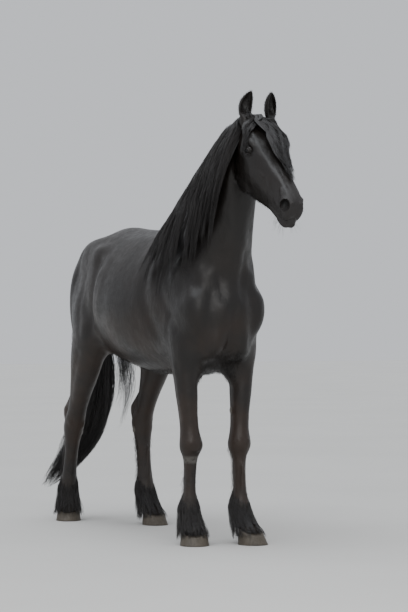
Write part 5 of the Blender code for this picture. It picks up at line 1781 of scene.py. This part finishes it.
# How densely loose short hair stands at places on the skin, and how long it is there.
def furGrowth(points):
    forward, left, up = body["middleForward"] - points[:, 1], points[:, 0], points[:, 2]
    density = np.full(len(points), 0.004)
    length = np.full(len(points), 0.009)

    def grow(where, much, long):
        density[where] = np.maximum(density[where], much)
        length[where] = long

    grow((up < 0.93) & (up > 0.78) & (np.abs(left) < 0.10), 0.9, 0.015)       # belly and between the legs
    grow((up < 0.42) & (up > 0.10), 0.16, 0.009)                              # cannons
    for legs in (foreLegs, hindLegs):
        for leg in legs.values():
            back = forward - np.interp(up, [leg["hoof"][2], leg["fetlock"][2], 0.5],
                                       [leg["hoof"][0], leg["fetlock"][0], leg["fetlock"][0]])
            near = (np.abs(left - leg["fetlock"][1]) < 0.09) & (up < 0.46) & (back < -0.02) & (back > -0.1)
            grow(near, 1.0, 0.024)
            grow((np.abs(left - leg["hoof"][1]) < 0.1) & (np.abs(forward - leg["hoof"][0]) < 0.12)
                 & (up < 0.105), 1.0, 0.016)                                  # over the coronet
    _, out = faceAndOut(forward, up)
    onHead = (forward > 0.20) & (up > 1.42)
    grow(onHead, 0.0, 0.005)
    grow(onHead & (out < -0.20), 1.0, 0.013)                                  # under the jaw
    for side in (-1, 1):
        _, height, near = aboutEar(points, side)
        grow(near & (height > 0.005), 1.0, 0.009)
    return density, length


# The lie of the coat: back along the trunk, down the legs, down the face from the forehead.
def coatLie(points, normals):
    forward, up = body["middleForward"] - points[:, 1], points[:, 2]
    lie = np.zeros_like(points)
    lie[:, 1] = 1.0
    lie[:, 2] = -0.35
    lie[neckShare(forward, up) > 0] = (0, 0.55, -0.85)
    lie[up < 0.92] = (0, 0.18, -1.0)
    lie[headAt(forward, up)] = np.array(headPoint(1, 0, -0.15) - headPoint(0, 0, 0))
    for side in (-1, 1):
        axis, height, near = aboutEar(points, side)
        lie[near & (height > 0.012)] = axis
    lie = lie - normals * (lie * normals).sum(-1, keepdims=True)
    return unit(lie)


def makeFur(skin, material):
    draw = np.random.default_rng(24)
    mesh = skin.data
    mesh.calc_loop_triangles()
    corners = np.empty(len(mesh.loop_triangles) * 3, np.int32)
    mesh.loop_triangles.foreach_get("vertices", corners)
    found = pointsOf(mesh)
    triangles = found[corners.reshape(-1, 3)]
    cross = np.cross(triangles[:, 1] - triangles[:, 0], triangles[:, 2] - triangles[:, 0])
    area = np.linalg.norm(cross, axis=1) / 2
    centres = triangles.mean(1)
    density, _ = furGrowth(centres)
    chance = np.cumsum(area * density)
    chance /= chance[-1]
    made = []
    steps = furHair["points"]
    share = np.linspace(0, 1, steps)
    for i in range(furHair["pieces"]):
        count = furHair["strands"]
        own = np.minimum(np.searchsorted(chance, draw.random(count)), len(chance) - 1)
        a, b = draw.random(count), draw.random(count)
        a, b = np.where(a + b > 1, 1 - a, a), np.where(a + b > 1, 1 - b, b)
        corner = triangles[own]
        edges = corner[:, 1:] - corner[:, :1]
        root = corner[:, 0] + edges[:, 0] * a[:, None] + edges[:, 1] * b[:, None]
        normal = unit(cross[own])
        _, length = furGrowth(root)
        length = length * draw.uniform(0.7, 1.3, count)
        lie = unit(coatLie(root, normal) + 0.16 * draw.normal(size=(count, 3)))
        rise = 0.22 + 0.16 * draw.random(count)
        bend = (share + 0.25 * share**2)[None, :, None]
        points = root[:, None] + lie[:, None] * (length[:, None, None] * bend)
        lift = (rise * length)[:, None] * np.sin(share * 2.0)[None] - 0.0006 * (share == 0)
        points = points + normal[:, None] * lift[..., None]
        outs = np.broadcast_to(normal[:, None], points.shape)
        widths = strandWidths(draw, count, share, furHair["halfWide"])
        made.append(strandPiece(f"shortFur{i + 1}", points, outs, widths, draw.random(count), material))
    return made


whiskers = {"strands": 130, "points": 7, "halfWide": 0.00028, "length": (0.018, 0.052)}
lashes = {"strands": 90, "points": 6, "halfWide": 0.00035, "length": 0.016}


# Feelers round the lips and chin, and lashes along each upper lid.
def makeWhiskers(material, tree):
    draw = np.random.default_rng(25)
    count = whiskers["strands"]
    share = np.linspace(0, 1, whiskers["points"])
    side = np.where(draw.random(count) < 0.5, -1.0, 1.0)
    along = draw.uniform(0.40, 0.50, count)
    low = draw.random(count) < 0.6
    chin, lip = draw.uniform(-0.165, -0.12, count), draw.uniform(-0.10, -0.06, count)
    out = np.where(low, chin, lip)
    spots = headPlaces(along, side * draw.uniform(0.005, 0.06, count), out)
    roots, normals = [], []
    for spot in spots:
        near, normal, _, _ = tree.find_nearest(Vector(spot))
        roots.append(near)
        normals.append(normal)
    roots, normals = np.array(roots), np.array(normals)
    ahead = np.array(headPoint(0.5, 0, -0.4) - headPoint(0, 0, 0))
    ends = unit(normals + 0.45 * unit(ahead) + 0.20 * draw.normal(size=(count, 3)))
    length = draw.uniform(*whiskers["length"], count)
    points = roots[:, None] + ends[:, None] * (length[:, None] * share)[..., None]
    points[..., 2] -= (0.25 * length)[:, None] * share**2
    points[:, 0] -= normals * 0.001
    widths = strandWidths(draw, count, share, whiskers["halfWide"], 0.3)
    outs = np.broadcast_to(np.array([0.3, 0.2, 1.0]), points.shape)
    made = [strandPiece("whiskers", points, outs, widths, draw.random(count), material)]
    count = lashes["strands"]
    share = np.linspace(0, 1, lashes["points"])
    allPoints = []
    for side in (-1, 1):
        centre, look, alongLids, across = [np.array(v) for v in eyeFrame(side)]
        angle = np.radians(draw.uniform(22, 158, count))
        x, y = np.cos(angle) * 56, np.sin(angle) * 27
        turn = np.radians(np.hypot(x, y))
        aside = unit(alongLids * x[:, None] + across * y[:, None])
        out = look * np.cos(turn)[:, None] + aside * np.sin(turn)[:, None]
        root = centre + out * (eyeRadius + 0.0035)
        ends = unit(look + 0.35 * aside + 0.12 * draw.normal(size=(count, 3)))
        length = lashes["length"] * draw.uniform(0.7, 1.1, count)
        path = root[:, None] + ends[:, None] * (length[:, None] * share)[..., None]
        curl = -0.35 * length[:, None] * np.sin(math.pi * share * 0.7) + 0.30 * length[:, None] * share
        path += across * curl[..., None]
        allPoints.append(path)
    points = np.concatenate(allPoints)
    widths = strandWidths(draw, len(points), share, lashes["halfWide"], 0.3)
    outs = np.broadcast_to(np.array([0.0, 0.0, 1.0]), points.shape)
    made.append(strandPiece("lashes", points, outs, widths, draw.random(len(points)), material))
    return made


# The dense hair inside the mane and round the dock, so that no light comes through.
def makeManeBed():
    rings = []
    for i in range(24):
        along = 0.01 + 0.97 * i / 23
        edge = math.sin(math.pi * min(max(along, 0.05), 0.95)) ** 0.4
        front, back = [], []
        for j in range(9):
            down = 0.52 * j / 8
            thick = (0.019 - 0.015 * j / 8) * edge
            at, fall = np.array([along]), np.array([down])
            here, out = manePlaces(at, fall)[0], maneOuts(at, fall)[0]
            front.append(Vector(here + out * thick))
            back.append(Vector(here - out * thick))
        rings.append(front + back[::-1])
    return lofted("maneBed", rings)


def makeTailBed():
    rings = []
    for i in range(22):
        share = i / 21
        middle, across, back, wide, thick = [v[0] for v in tailPlaces(np.array([0.62 * share]))]
        size = 0.74 - 0.40 * share**2
        ring = []
        for k in range(24):
            angle = 2 * math.pi * k / 24
            away = across * wide * math.cos(angle) + back * thick * math.sin(angle)
            ring.append(Vector(middle + away * size))
        rings.append(ring)
    return lofted("tailBed", rings)


def treeOf(obj):
    faces = [tuple(face.vertices) for face in obj.data.polygons]
    return BVHTree.FromPolygons([tuple(point) for point in pointsOf(obj.data)], faces)


# Camera, floor and light

view = {
    "turn": math.radians(27.3),  # from straight ahead of the horse towards its right
    "away": 9.93,
    "side": 0.122,
    "height": 1.06,
    "tilt": math.atan(16 / 2100),
    "lens": 2100 / 612 * 36,
}


def addCamera():
    camera = bpy.data.cameras.new("camera")
    camera.lens = view["lens"]
    camera.sensor_fit = "VERTICAL"
    camera.sensor_height = 36
    obj = linked("camera", camera)
    toCamera = Vector((-math.sin(view["turn"]), -math.cos(view["turn"]), 0))
    right = Vector((math.cos(view["turn"]), -math.sin(view["turn"]), 0))
    obj.location = place(0, 0, view["height"]) - right * view["side"] + toCamera * view["away"]
    look = -toCamera * math.cos(view["tilt"]) + Vector((0, 0, math.sin(view["tilt"])))
    obj.rotation_euler = look.to_track_quat("-Z", "Y").to_euler()
    bpy.context.scene.camera = obj


studio = {
    "floor": (0.535, 0.525, 0.505),
    "world": (0.93, 0.955, 1.0),
    "worldStrength": 0.76,
    "sky": (0.90, 0.95, 1.0),    # broad soft light from above
    "skyPower": 2.3,
    "skyAngle": math.radians(62),
    "skyWay": (0.26, 0.10, -1.0),
    "front": (1.0, 0.98, 0.95),  # a panel ahead of the horse, on its right
    "frontPower": 110,
    "frontPlace": (-2.4, -5.6, 3.4),
    "frontTarget": (0, -0.2, 1.2),
    "frontSize": (4.5, 3.5),
}


def addFloor():
    bm = bmesh.new()
    bmesh.ops.create_grid(bm, x_segments=1, y_segments=1, size=40)
    for vert in bm.verts:
        vert.co.z = -0.0005
    floor = objectOf("floor", bm)
    material, tree, shader, vector = newMaterial("paleFloor")
    patch = noiseOf(tree, vector, 0.8, 3)
    dim = tuple(0.96 * part for part in studio["floor"])
    colour = mixed(tree, ranged(tree, patch, 0.3, 0.7), studio["floor"], dim)
    tree.links.new(colour, shader.inputs["Base Color"])
    shader.inputs["Roughness"].default_value = 0.85
    shader.inputs["Specular IOR Level"].default_value = 0.2
    floor.data.materials.append(material)
    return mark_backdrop(floor)


def addLight(name, kind, heading):
    light = bpy.data.lights.new(name, kind)
    light.energy = studio[name + "Power"]
    light.color = studio[name]
    obj = linked(name, light)
    obj.rotation_euler = Vector(heading).to_track_quat("-Z", "Y").to_euler()
    return obj


def addLights():
    world = bpy.data.worlds.new("studio")
    bpy.context.scene.world = world
    world.use_nodes = True
    shade = world.node_tree.nodes["Background"]
    shade.inputs["Color"].default_value = (*studio["world"], 1)
    shade.inputs["Strength"].default_value = studio["worldStrength"]
    sky = addLight("sky", "SUN", studio["skyWay"])
    sky.data.angle = studio["skyAngle"]
    spot = Vector(studio["frontPlace"])
    front = addLight("front", "AREA", Vector(studio["frontTarget"]) - spot)
    front.location = spot
    front.data.shape = "RECTANGLE"
    front.data.size, front.data.size_y = studio["frontSize"]


def ridesAs(piece, nodes=()):
    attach(piece, "root")
    if nodes:
        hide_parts(*nodes)
    return piece


def main():
    addCamera()
    addFloor()
    addLights()
    print("stage and camera done")

    target = fineFlesh()
    print("fine flesh", len(target.data.polygons), "faces")
    skin = makeSkin(target)
    bpy.data.objects.remove(target)
    skin.data.materials.append(coatMaterial())
    flesh = ["torso", "neck", "head", "ear_right", "ear_left"]
    for end in ("fore", "hind"):
        for side in ("right", "left"):
            flesh += [f"{end}_leg_upper_{side}", f"{end}_leg_lower_{side}"]
    ridesAs(skin, flesh)
    print("skin", sum(len(face.vertices) - 2 for face in skin.data.polygons), "triangles")

    wetEye = eyeMaterial()
    for side, name in ((-1, "right"), (1, "left")):
        eye = makeEye(f"eyeball_{name}", side)
        eye.data.materials.append(wetEye)
        ridesAs(eye, [f"eye_{name}"])
    horn = hornMaterial()
    hooves = {}
    for end, legs, halves in (("fore", foreLegs, "foreHalf"), ("hind", hindLegs, "hindHalf")):
        for side, leg in legs.items():
            foot = makeHoof(f"hoof_{end}_{side}", leg, hoofShape[halves])
            foot.data.materials.append(horn)
            hooves[end, side] = ridesAs(foot, [f"{end}_hoof_{side}"])
    print("eyes and hooves done")

    tree = treeOf(skin)
    long = hairMaterial("longHair", hairLooks["dark"], hairLooks["light"], hairLooks["rough"])
    bed = hairMaterial("hairBed", hairLooks["bed"], hairLooks["bed"], hairLooks["bedRough"])
    for piece in (makeManeBed(), makeTailBed()):
        smoothShaded(piece).data.materials.append(bed)
        ridesAs(piece)
    for piece in makeMane(long, [tree]):
        ridesAs(piece)
    print("mane done")
    for piece in makeTail(long, [tree]):
        ridesAs(piece, ["tail"])
    ridesAs(makeForelock(long, [tree]))
    print("tail and forelock done")
    seed = 31
    for end, legs in (("fore", foreLegs), ("hind", hindLegs)):
        for side, leg in legs.items():
            trees = [tree, treeOf(hooves[end, side])]
            ridesAs(makeFeather(f"feather_{end}_{side}", leg, long, trees, seed))
            seed += 1
    for piece in makeFur(skin, furMaterial()) + makeWhiskers(long, tree):
        ridesAs(piece)
    print("feather, fur and whiskers done")


main()
